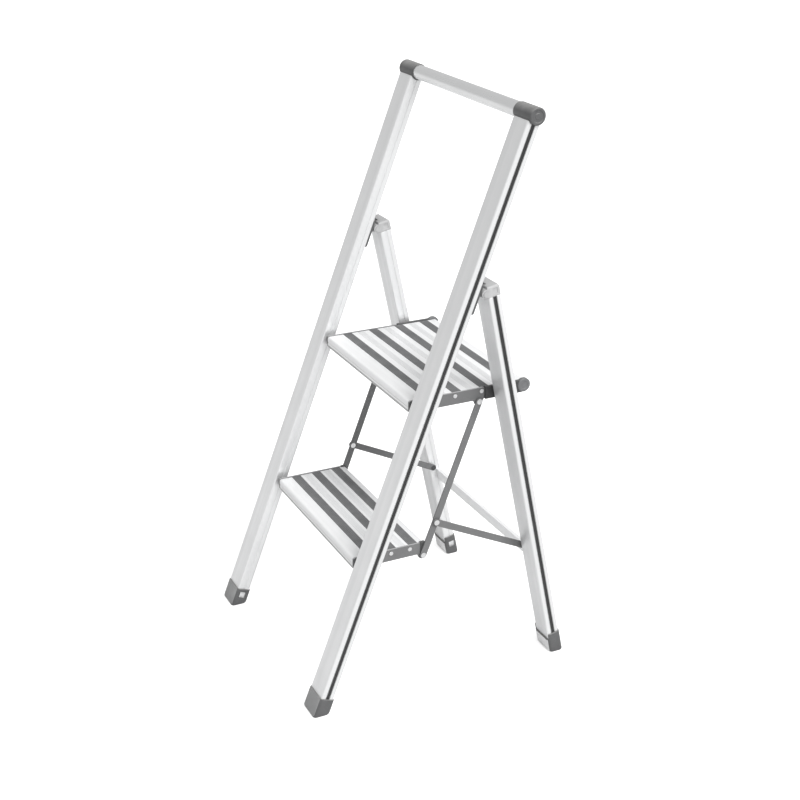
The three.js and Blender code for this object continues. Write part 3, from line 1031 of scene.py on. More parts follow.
@dataclass(frozen=True)
class PowderCoat(Finish):
    """Baked powder paint on steel: a faint orange peel, worn to metal along its edges.

    Args:
        lighter: tone of smudges.
        smudged: how much of the smudges shows.
        dusty: how much of the dust on faces that look up shows.
        scratched: how much of the scratches shows.
        peel_depth: how deep the orange peel is.
    """

    lighter: float = 1.35
    smudged: float = 0.35
    dusty: float = 0.25
    scratched: float = 0.5
    peel_depth: float = 0.08 * MM

    def dress(
        self, graph: Graph, shader: bpy.types.Node, place: bpy.types.NodeSocket
    ) -> None:
        """Orange peel in the bump, dust in the colour and bare metal where the mask says.

        Args:
            graph: the material's tree.
            shader: its Principled BSDF.
            place: the piece's own coordinates.
        """
        peel = graph.noise(place, 620.0, 2.0)
        use = EFFECTS.handling.place(graph, vector=place, scale=26.0)
        wear = self.edges(graph, place, 320.0)
        smudge, bare = use.outputs["Smudge"], wear.outputs["Mask"]
        colour = graph.cover(self.colour, smudge, self.smudged, self.tint(self.lighter))
        colour = graph.cover(colour, use.outputs["Dust"], self.dusty, DUST)
        colour = graph.blend(bare, colour, self.worn)
        colour = graph.cover(colour, use.outputs["Scratch"], self.scratched, self.worn)
        rough = graph.remap(smudge, 0.0, 1.0, self.rough - 0.04, self.rough + 0.12)
        metal = graph.maths("MULTIPLY", bare, 0.8)
        normal = self.relief(graph, peel.outputs[0], wear, 0.3, self.peel_depth)
        self.join(
            graph, shader, base_color=colour, roughness=rough, metallic=metal, normal=normal
        )


@dataclass(frozen=True)
class Moulded(Finish):
    """Injection-moulded plastic with a fine grain, scuffed paler on its edges.

    Args:
        grain: grain cells in a metre.
        depth: how deep the grain is.
        dusty: how much of the dust on faces that look up shows.
        speck: tone of the specks.
        specked: how much of the specks shows.
        smudge: tone of smudges.
        scuffed: how much of the scratches shows.
    """

    grain: float = 1300.0
    depth: float = 0.06 * MM
    dusty: float = 0.22
    speck: float = 1.3
    specked: float = 0.35
    smudge: float = 0.8
    scuffed: float = 0.5

    def dress(
        self, graph: Graph, shader: bpy.types.Node, place: bpy.types.NodeSocket
    ) -> None:
        """Grain in the bump, specks, scuffs and dust in the colour.

        Args:
            graph: the material's tree.
            shader: its Principled BSDF.
            place: the piece's own coordinates.
        """
        grain = EFFECTS.grain.place(graph, vector=place, scale=self.grain)
        use = EFFECTS.handling.place(graph, vector=place, scale=32.0)
        wear = self.edges(graph, place, 260.0)
        colour = graph.blend(use.outputs["Smudge"], self.tint(self.smudge), self.colour)
        colour = graph.cover(colour, grain.outputs["Speck"], self.specked, self.tint(self.speck))
        colour = graph.cover(colour, use.outputs["Dust"], self.dusty, LINT)
        colour = graph.blend(wear.outputs["Mask"], colour, self.worn)
        colour = graph.cover(colour, use.outputs["Scratch"], self.scuffed, self.worn)
        height = grain.outputs["Height"]
        rough = graph.remap(height, 0.3, 1.3, self.rough - 0.06, self.rough + 0.08)
        normal = self.relief(graph, height, wear, 0.4, self.depth)
        self.join(graph, shader, base_color=colour, roughness=rough, normal=normal)


SATIN: Colour = (0.82, 0.825, 0.83, 1.0)
BRIGHT: Colour = (0.78, 0.785, 0.79, 1.0)
BRIGHT_EDGE = grey(0.95)
STILE_METAL = Anodised("stile_aluminium", SATIN, 0.36, BRIGHT_EDGE, 0.5, 0.9 * MM, Run.STILE)
LEG_METAL = Anodised("leg_aluminium", SATIN, 0.36, BRIGHT_EDGE, 0.5, 0.9 * MM, Run.LEG)
BAR_METAL = Anodised("bar_aluminium", SATIN, 0.3, BRIGHT_EDGE, 0.3, 0.4 * MM, Run.ACROSS, 0.92)
TREAD_METAL = Anodised(
    "tread_aluminium", (0.9, 0.905, 0.91, 1.0), 0.42, BRIGHT_EDGE, 0.4, 0.6 * MM, Run.ACROSS, 0.2
)
# The ribs' metal is greyer than the tread's: painted shade for the grey bands between the strips.
SHADED_RIB_METAL = Anodised("rib_aluminium", BRIGHT, 0.5, BRIGHT_EDGE, 0.3, 0.2 * MM, Run.ACROSS, 0.25)
STEEL = Plated("plated_steel", BRIGHT, 0.22, BRIGHT_EDGE, 0.4, 0.3 * MM)
PAINT = PowderCoat("dark_powder_coat", (0.14, 0.141, 0.143, 1.0), 0.46, grey(0.62), 0.45)
RUBBED = PowderCoat("rubbed_powder_coat", (0.36, 0.362, 0.366, 1.0), 0.42, grey(0.66), 0.6)
DARK = Moulded(
    "dark_plastic_moulding", (0.1, 0.101, 0.103, 1.0), 0.44, grey(0.34), 0.5, dusty=0.75
)
BLACK = Moulded("black_plastic_moulding", (0.055, 0.056, 0.057, 1.0), 0.5, grey(0.2), 0.4)
GREY = Moulded("grey_plastic_moulding", (0.49, 0.492, 0.495, 1.0), 0.48, grey(0.62), 0.4)
# Pale front of the rear shoes; its tone is raised past the plastic's own to make up for the shade on
# it, so it is partly painted light.
PALE = Moulded("pale_shoe_front", (0.84, 0.842, 0.848, 1.0), 0.5, (0.9, 0.75, 0.75, 1.0), 0.4)
# Lighter grey on the front shoes' forward faces: painted sheen.
TOE = Moulded("scuffed_shoe_front", (0.29, 0.292, 0.295, 1.0), 0.5, grey(0.45), 0.5)
# Near black: painted shade for the inside of the profiles' outer slots.
SLOT_SHADE = Moulded("black_slot_insert", (0.026, 0.0265, 0.027, 1.0), 0.55, grey(0.12), 0.3)
BULB = Moulded("bulb_moulding", (0.16, 0.163, 0.168, 1.0), 0.48, grey(0.4), 0.5)
STRIP = Moulded(
    "ribbed_strip_rubber", (0.15, 0.153, 0.158, 1.0), 0.72, grey(0.3), 0.4,
    edge=0.4 * MM, grain=2200.0, depth=0.1 * MM,
)


# ------------------------------------------------------------------ putting pieces on the ladder
def dress(obj: bpy.types.Object, finish: Finish) -> bpy.types.Object:
    """Gives a piece one finish all over.

    Args:
        obj: the piece.
        finish: the finish.

    Returns:
        The piece.
    """
    obj.data.materials.clear()
    obj.data.materials.append(finish.material())
    return obj


def fit(
    obj: bpy.types.Object,
    body: Body,
    finish: Finish,
    stands_for: Sequence[str] = (),
) -> bpy.types.Object:
    """Puts a finished piece on its body.

    Args:
        obj: the piece, at its place.
        body: the body of the frame that it moves with.
        finish: its finish.
        stands_for: nodes of the frame that it replaces.

    Returns:
        The piece.
    """
    dress(obj, finish)
    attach(obj, body.value)
    if stands_for:
        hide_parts(*stands_for)
    LOG.info("%s: %d faces on %s", obj.name, len(obj.data.polygons), body.value)
    return obj


def fit_pair(
    obj: bpy.types.Object,
    name: str,
    body: Body,
    finish: Finish,
    node: Optional[str] = None,
) -> list[bpy.types.Object]:
    """Fits a right-hand piece and its mirrored copy.

    Args:
        obj: the right-hand piece.
        name: the name after the side's word.
        body: the body that both move with.
        finish: the finish of both.
        node: the node after the side's word that each replaces, if there is one.

    Returns:
        The right-hand piece and the left-hand one.
    """
    twin = Bench.mirrored(obj, f"{Side.LEFT.word}_{name}")
    obj.name = obj.data.name = f"{Side.RIGHT.word}_{name}"
    pair = [obj, twin]
    for piece, side in zip(pair, (Side.RIGHT, Side.LEFT)):
        nodes = [f"{side.word}_{node}"] if node else []
        fit(piece, body, finish, nodes)
    return pair


def domed(seat: float, crown: float, radius: float, steps: int = 5) -> list[Step]:
    """The outline of a domed head.

    Args:
        seat: x where the head starts.
        crown: how far the dome would rise if it were whole.
        radius: at the seat.
        steps: faces over the dome, which ends in a small flat.

    Returns:
        (x, radius) pairs.
    """
    outline = []
    for i in range(steps + 1):
        angle = math.radians(80) * i / steps
        outline.append((seat + crown * math.sin(angle), radius * math.cos(angle)))
    return outline


def rounded_rim(end: float, radius: float, rim: float, steps: int) -> list[Step]:
    """The outline of a quarter round from a barrel to its end.

    Args:
        end: x of the barrel's end.
        radius: of the barrel.
        rim: radius of the quarter round.
        steps: faces over it.

    Returns:
        (x, radius) pairs.
    """
    outline = []
    for i in range(steps + 1):
        angle = QUARTER * i / steps
        outline.append((end - rim * (1 - math.sin(angle)), radius - rim * (1 - math.cos(angle))))
    return outline


# ------------------------------------------------------------------ sub-assemblies
@dataclass
class GrabBar:
    """The round tube between the corner caps.

    Args:
        wall: thickness of the tube.
        edge: how far its ends are chamfered.
        sides: faces round it.
    """

    wall: float = 1.5 * MM
    edge: float = 0.4 * MM
    sides: int = 96

    @property
    def axis(self) -> Step:
        """(y, z) of the tube's axis."""
        low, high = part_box("top_bar")
        return ((low.y + high.y) / 2, (low.z + high.z) / 2)

    def build(self) -> None:
        """Turns the tube and fits it."""
        low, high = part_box("top_bar")
        radius, end = (high.z - low.z) / 2, high.x
        bore = radius - self.wall
        outline = [
            (-end, bore),
            (-end, radius - self.edge),
            (-end + self.edge, radius),
            (end - self.edge, radius),
            (end, radius - self.edge),
            (end, bore),
            (-end, bore),
        ]
        tube = Bench.turned("grab_bar", self.axis, outline, self.sides, ring=True)
        Bench.finish(tube)
        fit(tube, Body.FRONT, BAR_METAL, ["top_bar"])


@dataclass
class CornerCap:
    """The moulded corner between stile and bar: a barrel round the bar on a saddle over the stile.

    Args:
        bar: the bar in it.
        radius: of the barrel.
        bore: radius of its bore.
        inner: x where it starts.
        outer: x of its end.
        bore_end: x of the bore's floor.
        lip: length of the step at its start.
        rim: rounding of its end.
        dish: how deep the ring in its end is sunk.
        button: how deep the button in the ring is.
        reach: along the stile, to the top of the saddle.
        seat: length of the saddle.
        saddle_corner: rounding of the saddle's corners.
        core: how far inside the barrel the saddle ends.
        sides: faces round it.
    """

    bar: GrabBar
    radius: float = 13.5 * MM
    bore: float = 12.3 * MM
    inner: float = 163.5 * MM
    outer: float = 215 * MM
    bore_end: float = 195.8 * MM
    lip: float = 1 * MM
    rim: float = 2.6 * MM
    dish: float = 0.9 * MM
    button: float = 0.3 * MM
    reach: float = 991 * MM
    seat: float = 9.6 * MM
    saddle_corner: float = 2.5 * MM
    core: float = 0.6 * MM
    sides: int = 64

    def outline(self) -> list[Step]:
        """From the floor of the bore, round the lip and the barrel, to the middle of its end.

        Returns:
            (x, radius) pairs.
        """
        ring_outer, ring_inner = self.radius - 4.2 * MM, 5 * MM
        slant = 0.6 * MM
        return [
            (self.bore_end, self.bore),
            (self.inner, self.bore),
            (self.inner, self.radius - self.lip),
            (self.inner + self.lip, self.radius - 0.4 * self.lip),
            (self.inner + 3 * self.lip, self.radius),
            *rounded_rim(self.outer, self.radius, self.rim, 6),
            (self.outer, ring_outer),
            (self.outer - self.dish, ring_outer - slant),
            (self.outer - self.dish, ring_inner),
            (self.outer - self.button, ring_inner - 0.7 * MM),
            (self.outer - self.button, 1 * MM),
        ]

    def saddle(self) -> bpy.types.Object:
        """The block over the stile's end, hollowed for the barrel.

        Returns:
            The block, laid against the stile.
        """
        saddle = Bench.block(
            "saddle",
            (SIZES.face_in, 0, self.reach - self.seat),
            (SIZES.face_out, SIZES.stile_depth, self.reach),
        )
        Bench.round_edges(saddle, lambda e: runs_along(e, 2), self.saddle_corner, 4)
        Bench.lay(saddle, SIZES.stile)
        inside, past = self.radius - self.core, 9 * MM
        core = [(SIZES.face_in - past, inside), (SIZES.face_out + past, inside)]
        return Bench.carve(saddle, [Bench.turned("core", self.bar.axis, core, self.sides)])

    def build(self) -> None:
        """Turns the barrel, joins the saddle to it and fits the pair."""
        cap = Bench.turned("top_cap", self.bar.axis, self.outline(), self.sides)
        Bench.carve(cap, [self.saddle()], "UNION")
        Bench.finish(cap)
        fit_pair(cap, "corner_cap", Body.FRONT, DARK, "top_cap")


@dataclass
class Shoe:
    """A moulded shoe on the end of a profile, cut flat on the floor.

    Args:
        name: the node it stands for, after the side's word.
        body: what it rides on.
        slope: the side it is laid against.
        depth: of the profile in it.
        height: along the profile, to the shoe's top.
        foot: along the profile, to the profile's end.
        window: (depth, along) of the square window's middle, on the inner side.
        face: the finish of its front wall, lighter than the shoe to paint the light on the forward
            faces.
        lip: along, where the front wall of a rear shoe ends; a front shoe's goes right up.
        band: how far below the wall's top its own finish starts.
        side: of the window.
        corner: rounding of its upright corners.
        pocket_corner: rounding of the pocket's.
        sole_edge: rounding round the sole.
        top_edge: rounding round the top.
        groove: half the width of a groove in the sole.
        pitch: from groove to groove.
        grooves: how many there are.
        edge: rounding of every other edge.
    """

    name: str
    body: Body
    slope: Slope
    depth: float
    height: float
    foot: float
    window: Step
    face: Finish = GREY
    lip: Optional[float] = None
    band: float = 0.5 * MM
    side: float = 11 * MM
    corner: float = 6.5 * MM
    pocket_corner: float = 2.5 * MM
    sole_edge: float = 4.5 * MM
    top_edge: float = 1.4 * MM
    groove: float = 1.2 * MM
    pitch: float = 5.5 * MM
    grooves: int = 4
    edge: float = 0.45 * MM

    def shell(self) -> bpy.types.Object:
        """The outer block, with round corners and a rounded top, cut off at the floor.

        Returns:
            The block, laid against its side.
        """
        wall, top, below = SIZES.shoe_wall, self.height - NUDGE, 30 * MM
        shoe = Bench.block(
            self.name,
            (SIZES.face_in - wall, -wall, -below),
            (SIZES.face_out + wall, self.depth + wall, self.height),
        )
        Bench.round_edges(shoe, lambda e: runs_along(e, 2), self.corner, 6)
        Bench.round_edges(shoe, lambda e: all(v.co.z > top for v in e.verts), self.top_edge, 3)
        Bench.lay(shoe, self.slope)
        with Editing(shoe):
            bpy.ops.mesh.select_all(action="SELECT")
            bpy.ops.mesh.bisect(
                plane_co=(0, 0, 0), plane_no=(0, 0, 1), clear_inner=True, use_fill=True
            )
        Bench.round_edges(shoe, lambda e: all(v.co.z < NUDGE for v in e.verts), self.sole_edge, 4)
        return shoe

    def cut(self, low: Point, high: Point, corner: float = 0.0) -> bpy.types.Object:
        """A cutting block between two points of the slope.

        Args:
            low: its lowest corner.
            high: its highest corner.
            corner: rounding of the edges that run along the slope.

        Returns:
            The block, laid against the slope.
        """
        block = Bench.block("cut", low, high)
        if corner:
            Bench.round_edges(block, lambda e: runs_along(e, 2), corner, 4)
        return Bench.lay(block, self.slope)

    def cuts(self) -> list[bpy.types.Object]:
        """The pocket, the window, the low front of a rear shoe and the grooves of the sole.

        Returns:
            The cutting blocks.
        """
        gap, wall, half, past = SIZES.gap, SIZES.shoe_wall, self.side / 2, 1 * MM
        above = self.height + 20 * MM
        inside, outside = SIZES.face_in - gap, SIZES.face_out + gap
        deep, along = self.window
        pocket = self.cut(
            (inside, -gap, self.foot - gap), (outside, self.depth + gap, above), self.pocket_corner
        )
        window = self.cut(
            (SIZES.face_in - wall - past, deep - half, along - half),
            (SIZES.face_in, deep + half, along + half),
        )
        tools = [pocket, window]
        if self.lip:
            tools.append(self.cut((inside, -wall - past, self.lip), (outside, past, above)))
        toe = self.slope.foot - wall
        for i in range(self.grooves):
            y = toe + (i + 1) * self.pitch
            tools.append(
                Bench.block("groove", (-1, y - self.groove, -past), (1, y + self.groove, past))
            )
        return tools

    def build(self) -> None:
        """Cuts the shell, rounds its edges, fits the pair and gives their forward faces the lighter
        front tone, which is painted light.
        """
        shoe = Bench.carve(self.shell(), self.cuts())
        Bench.soften(shoe, self.edge)
        forward = self.slope.matrix.to_3x3() @ Vector((0, -1, 0))
        upward = self.slope.matrix.to_3x3() @ Vector((0, 0, 1))
        line = self.slope.point(0, 0, (self.lip or self.height) - self.band)
        with Editing(shoe):
            bpy.ops.mesh.select_all(action="SELECT")
            bpy.ops.mesh.bisect(plane_co=line, plane_no=upward)
        name = self.name.replace("foot", "shoe")
        for piece in fit_pair(shoe, name, self.body, DARK, self.name):
            piece.data.materials.append(self.face.material())
            for face in piece.data.polygons:
                below = (face.center - line).dot(upward) < 0
                if below and face.normal.dot(forward) > 0.9:
                    face.material_index = 1


@dataclass
class SlotLiner:
    """A near-black strip in a profile's outer slot, with a channel along it: painted shade for the
    dark inside of the slot.

    Args:
        name: the strip's name, after the side's word.
        body: what it rides on.
        slope: the side it is laid against.
        depth: of the profile.
        low: along the profile, to its lower end.
        high: along the profile, to its upper end.
        half: half its width.
        back: x of its back.
        front: x of its front.
        channel: how deep the channel is.
        rim: width of the strip at each side of the channel.
        edge: rounding of its edges.
    """

    name: str
    body: Body
    slope: Slope
    depth: float
    low: float
    high: float
    half: float = 3.7 * MM
    back: float = 209.7 * MM
    front: float = 210.3 * MM
    channel: float = 0.9 * MM
    rim: float = 1.1 * MM
    edge: float = 0.25 * MM

    def build(self) -> None:
        """Makes the strip, sinks a channel along it and fits the pair."""
        middle = self.depth / 2
        strip = Bench.block(
            self.name,
            (self.back, middle - self.half, self.low),
            (self.front, middle + self.half, self.high),
        )
        with Editing(strip) as edit:
            edit.pick_faces(lambda f: faces_way(f, 0, 1))
            bpy.ops.mesh.inset(thickness=self.rim)
            bpy.ops.transform.translate(value=(-self.channel, 0, 0))
        Bench.lay(strip, self.slope)
        Bench.soften(strip, self.edge)
        fit_pair(strip, self.name, self.body, SLOT_SHADE)


@dataclass
class HingeCap:
    """The forked grey cap on top of a rear leg.

    Args:
        low: along the leg, to the cap's lower end.
        high: along the leg, to its top.
        knuckle: radius round the hinge pin.
        fork: half the width of the fork.
        throat: how far back the fork reaches.
        rounding: of the top edges.
        panel: how deep the panels in its sides are.
        play: how much wider the bore is than the pin.
        edge: rounding of every other edge.
    """

    low: float = 669.3 * MM
    high: float = 687 * MM
    knuckle: float = 7.2 * MM
    fork: float = 6.9 * MM
    throat: float = 6.4 * MM
    rounding: float = 3.2 * MM
    panel: float = 0.8 * MM
    play: float = 0.2 * MM
    edge: float = 0.5 * MM

    def cuts(self, axis: Step) -> list[bpy.types.Object]:
        """The fork, the pin's bore and a panel in each side.

        Args:
            axis: (y, z) of the hinge.

        Returns:
            The cutting pieces.
        """
        inner, outer, middle = SIZES.face_in, SIZES.face_out, SIZES.middle
        past, margin = 30 * MM, 4 * MM
        fork = Bench.block(
            "fork",
            (middle - self.fork, -past, self.low - 2 * MM),
            (middle + self.fork, self.throat, self.high + past),
        )
        radius = SIZES.pin + self.play
        bore = [(inner - past, radius), (outer + past, radius)]
        tools = [Bench.lay(fork, SIZES.leg), Bench.turned("bore", axis, bore, 32)]
        for face in (inner, outer):
            panel = Bench.block(
                "panel",
                (face - self.panel, 9 * MM, self.low + margin),
                (face + self.panel, SIZES.leg_depth - margin, self.high - 5 * MM),
            )
            tools.append(Bench.lay(panel, SIZES.leg))
        return tools

    def build(self) -> None:
        """Joins knuckle and block, cuts them and fits the pair."""
        inner, outer, top = SIZES.face_in, SIZES.face_out, self.high - NUDGE
        hinge = joint_place("rear_fold")
        axis = (hinge.y, hinge.z)
        cap = Bench.block("leg_cap", (inner, 0, self.low), (outer, SIZES.leg_depth, self.high))
        Bench.round_edges(cap, lambda e: all(v.co.z > top for v in e.verts), self.rounding, 5)
        Bench.lay(cap, SIZES.leg)
        round_part = [(inner, self.knuckle), (outer, self.knuckle)]
        Bench.carve(cap, [Bench.turned("knuckle", axis, round_part, 64)], "UNION")
        Bench.carve(cap, self.cuts(axis))
        Bench.soften(cap, self.edge)
        fit_pair(cap, "hinge_cap", Body.REAR, GREY, "leg_cap")


@dataclass
class HingePlate:
    """The dark plate behind a hinge bracket, with the screws that hold it to the stile.

    Args:
        thick: thickness of the plate.
        below: how far it reaches down from the hinge.
        above: how far it reaches up.
        inset: how far its sides stand in from the stile's.
        seat: its clearance to the stile.
        corner: rounding of its corners.
        edge: rounding of its edges.
        radius: of a screw's head.
        height: of a screw's head.
        drive: half the width of the square recess in it.
        spread: of the screws, to each side of the middle.
        offsets: of the screws, along the stile from the hinge.
    """

    thick: float = 2.5 * MM
    below: float = 36 * MM
    above: float = 14 * MM
    inset: float = 0.4 * MM
    seat: float = 0.1 * MM
    corner: float = 5 * MM
    edge: float = 0.5 * MM
    radius: float = 3.2 * MM
    height: float = 1.6 * MM
    drive: float = 1 * MM
    spread: float = 8.5 * MM
    offsets: tuple[float, ...] = (-19 * MM, 17 * MM)

    def add_plate(self, along: float) -> None:
        """Makes the plate and fits the pair.

        Args:
            along: the hinge's place along the stile.
        """
        seat = SIZES.stile_depth + self.seat
        plate = Bench.block(
            "plate",
            (SIZES.face_in + self.inset, seat, along - self.below),
            (SIZES.face_out - self.inset, seat + self.thick, along + self.above),
        )
        Bench.round_edges(plate, lambda e: runs_along(e, 1), self.corner, 6)
        Bench.lay(plate, SIZES.stile)
        Bench.soften(plate, self.edge)
        fit_pair(plate, "hinge_plate", Body.FRONT, DARK)

    def screw(self) -> bpy.types.Object:
        """A screw's head with a recess, looking back.

        Returns:
            The head, at the origin.
        """
        head = Bench.turned("screw", (0, 0), domed(0, self.height, self.radius), 32)
        half, floor = self.drive, 0.4 * self.height
        drive = Bench.block("drive", (floor, -half, -half), (4 * half, half, half))
        Bench.carve(head, [drive])
        head.rotation_euler = (0, 0, QUARTER)
        return Bench.settle(head)

    def build(self) -> None:
        """Adds the plates, makes one screw and copies it round each hinge."""
        hinge = SIZES.stile.local(joint_place("rear_fold"))
        self.add_plate(hinge.z)
        head = self.screw()
        back = SIZES.stile_depth + SIZES.gap + self.thick
        places = [(x, z) for z in self.offsets for x in (-self.spread, self.spread)]
        for i, (across, along) in enumerate(places, 1):
            place = (SIZES.middle + across, back, hinge.z + along)
            screw = Bench.copy(head, f"hinge_screw_{i}", place)
            Bench.finish(Bench.lay(screw, SIZES.stile))
            fit_pair(screw, f"hinge_screw_{i}", Body.FRONT, STEEL)
        bpy.data.objects.remove(head)


@dataclass
class TreadFittings:
    """What is fitted round a tread: rivet heads, nose plugs whose black also paints shade, pivot
    spacers, a grey strip of painted shade under the nose and fine ribs in a greyer metal that paints
    their shade.

    Args:
        name: the tread's name, upper or lower.
        body: what it rides on.
        strips: middles of the grip strips, back from the front edge.
        rivets: (back, down) of each rivet from the front top edge.
        tail: length of the dark block on each rear corner, or 0 where an end cap sits there.
        rib_width: of a rib at its foot.
        rib_height: of a rib.
        rib_top: width of its top, as a share of its foot's.
        rib_pitch: from rib to rib.
        ribs_in_band: ribs between two strips.
        spacer: radius of a pivot's spacer.
        flange: chamfer of its end.
        plug_depth: how far back a nose plug reaches.
        plug_out: how far it stands out past the side plate.
        round_edge: rounding of the nose plugs and of the grey strip of painted shade.
        tail_edge: rounding of the dark blocks.
    """

    name: str
    body: Body
    strips: Sequence[float]
    rivets: Sequence[Step]
    tail: float = 0.0
    rib_width: float = 1.1 * MM
    rib_height: float = 0.45 * MM
    rib_top: float = 0.6
    rib_pitch: float = 2.3 * MM
    ribs_in_band: int = 5
    spacer: float = 4 * MM
    flange: float = 0.5 * MM
    plug_depth: float = 13 * MM
    plug_out: float = 4 * MM
    round_edge: float = 1 * MM
    tail_edge: float = 0.9 * MM

    @property
    def edge(self) -> Step:
        """(y, z) of the tread's front top edge."""
        low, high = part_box(f"{self.name}_tread")
        return (low.y, high.z)

    def add_rivets(self) -> None:
        """Low round heads over the rivets of the side plates."""
        y, top = self.edge
        seat = SIZES.plate_out
        outline = [
            (seat, 3.5 * MM),
            (seat + 0.55 * MM, 3.4 * MM),
            (seat + 0.72 * MM, 2.7 * MM),
            (seat + 0.8 * MM, 1.4 * MM),
        ]
        for i, (back, down) in enumerate(self.rivets, 1):
            head = Bench.finish(Bench.turned("rivet", (y + back, top - down), outline, 32))
            fit_pair(head, f"{self.name}_rivet_{i}", self.body, STEEL)

    def add_plug(self) -> None:
        """A black plug at each end of the front nose; its black also paints the shade in the gap
        beside the stile.
        """
        y, top = self.edge
        plug = Bench.block(
            "plug",
            (SIZES.tread_half - 0.2 * MM, y + 0.6 * MM, top - 14.8 * MM),
            (SIZES.plate_out + self.plug_out, y + self.plug_depth, top - 1.2 * MM),
        )
        Bench.soften(plug, self.round_edge, 4)
        # the near-black plug also stands for the shade at the nose's corner
        fit_pair(plug, f"{self.name}_nose_plug", self.body, BLACK)

    def add_spacer(self) -> None:
        """The black spacer on each pivot, between the side plate and the stile."""
        pivot = joint_place(f"{self.name}_step_fold")
        end = SIZES.face_in - SIZES.gap
        outline = [
            (SIZES.plate_out, self.spacer),
            (end - self.flange, self.spacer),
            (end, self.spacer - self.flange),
        ]
        spacer = Bench.turned("spacer", (pivot.y, pivot.z), outline, 40)
        fit_pair(Bench.finish(spacer), f"{self.name}_spacer", self.body, BLACK)

    def add_bead(self) -> None:
        """A thin grey strip under the front edge of the nose: painted shade for its shadowed rounded
        underside.
        """
        y, top = self.edge
        half = SIZES.tread_half - 0.5 * MM
        nose_shade_strip = Bench.block(
            f"{self.name}_bead",
            (-half, y - 0.4 * MM, top - 18.3 * MM),
            (half, y + 2.5 * MM, top - 13.9 * MM),
        )
        Bench.soften(nose_shade_strip, self.round_edge, 4)
        # painted shade: a grey strip where the nose's rounded underside is in shadow
        fit(nose_shade_strip, self.body, GREY)

    def add_tail(self) -> None:
        """The dark block on each rear corner, over the end of the side plate."""
        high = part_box(f"{self.name}_tread")[1]
        block = Bench.block(
            "tail",
            (SIZES.tread_half - 1.5 * MM, high.y - self.tail, high.z - 17 * MM),
            (SIZES.plate_out + 0.75 * MM, high.y + 1 * MM, high.z + 2 * MM),
        )
        Bench.soften(block, self.tail_edge, 4)
        fit_pair(block, f"{self.name}_tail", self.body, BLACK)

    def add_ribs(self) -> None:
        """Fine ribs along the tread between the strips, modelled once and copied, in a greyer metal
        that paints their shade.
        """
        y, top = self.edge
        half, side = SIZES.tread_half - 1 * MM, self.rib_width / 2
        first = Bench.block(
            "rib", (-half, -side, top - 0.1 * MM), (half, side, top + self.rib_height)
        )
        with Editing(first) as edit:
            edit.pick_faces(lambda f: faces_way(f, 2, 1))
            bpy.ops.transform.resize(value=(1, self.rib_top, 1))
        bands = [y + (a + b) / 2 for a, b in zip(self.strips, self.strips[1:])]
        shifts = [i - (self.ribs_in_band - 1) / 2 for i in range(self.ribs_in_band)]
        places = [band + shift * self.rib_pitch for band in bands for shift in shifts]
        ribs = [Bench.copy(first, f"rib_{i}", (0, place, 0)) for i, place in enumerate(places)]
        bpy.data.objects.remove(first)
        Bench.only(ribs[0])
        for rib in ribs:
            rib.select_set(True)
        bpy.ops.object.join()
        ribs[0].name = ribs[0].data.name = f"{self.name}_ribs"
        Bench.finish(ribs[0])
        fit(ribs[0], self.body, SHADED_RIB_METAL)

    def build(self) -> None:
        """Adds everything."""
        self.add_rivets()
        self.add_plug()
        self.add_spacer()
        self.add_ribs()
        self.add_bead()
        if self.tail:
            self.add_tail()


@dataclass
class EndCap:
    """The dark cap on a rear corner of the upper tread, with a round bulb behind it.

    Args:
        start: of the cap, back from the tread's front edge.
        bulb_back: middle of the bulb, forward of the tread's rear edge.
        bulb_down: middle of the bulb, below the tread's top.
        bulb: radius of the bulb.
        bulb_out: how far it stands out past the cap.
        thick: how far the cap stands out past the side plate.
        edge: rounding of the cap.
        rim: rounding of the bulb.
        dish: how deep the middle of the bulb is sunk.
    """

    start: float = 132.3 * MM
    bulb_back: float = 5.5 * MM
    bulb_down: float = 7 * MM
    bulb: float = 11.5 * MM
    bulb_out: float = 1.5 * MM
    thick: float = 2.6 * MM
    edge: float = 1.1 * MM
    rim: float = 2.2 * MM
    dish: float = 0.6 * MM

    def outline(self) -> list[Step]:
        """Of the bulb, from its inner face to the middle of its dish.

        Returns:
            (x, radius) pairs.
        """
        inner = SIZES.tread_half + SIZES.gap
        end = SIZES.plate_out + self.thick + self.bulb_out
        dish_radius, chamfer = 6.5 * MM, 0.6 * MM
        return [
            (inner, self.bulb - chamfer),
            (inner + chamfer, self.bulb),
            *rounded_rim(end, self.bulb, self.rim, 5),
            (end, dish_radius),
            (end - self.dish, dish_radius - self.dish),
            (end - self.dish, 1 * MM),
        ]

    def build(self) -> None:
        """Makes the cap, turns the bulb and fits both pairs."""
        low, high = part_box("upper_tread")
        centre = (high.y - self.bulb_back, high.z - self.bulb_down)
        block = Bench.block(
            "end_cap",
            (SIZES.tread_half + SIZES.gap, low.y + self.start, high.z - 19 * MM),
            (SIZES.plate_out + self.thick, centre[0] - 2 * MM, high.z + 2 * MM),
        )
        Bench.soften(block, self.edge, 4)
        fit_pair(block, "end_cap", Body.UPPER, BLACK, "upper_end_cap")
        bulb = Bench.finish(Bench.turned("bulb", centre, self.outline(), 56))
        fit_pair(bulb, "end_bulb", Body.UPPER, BULB)


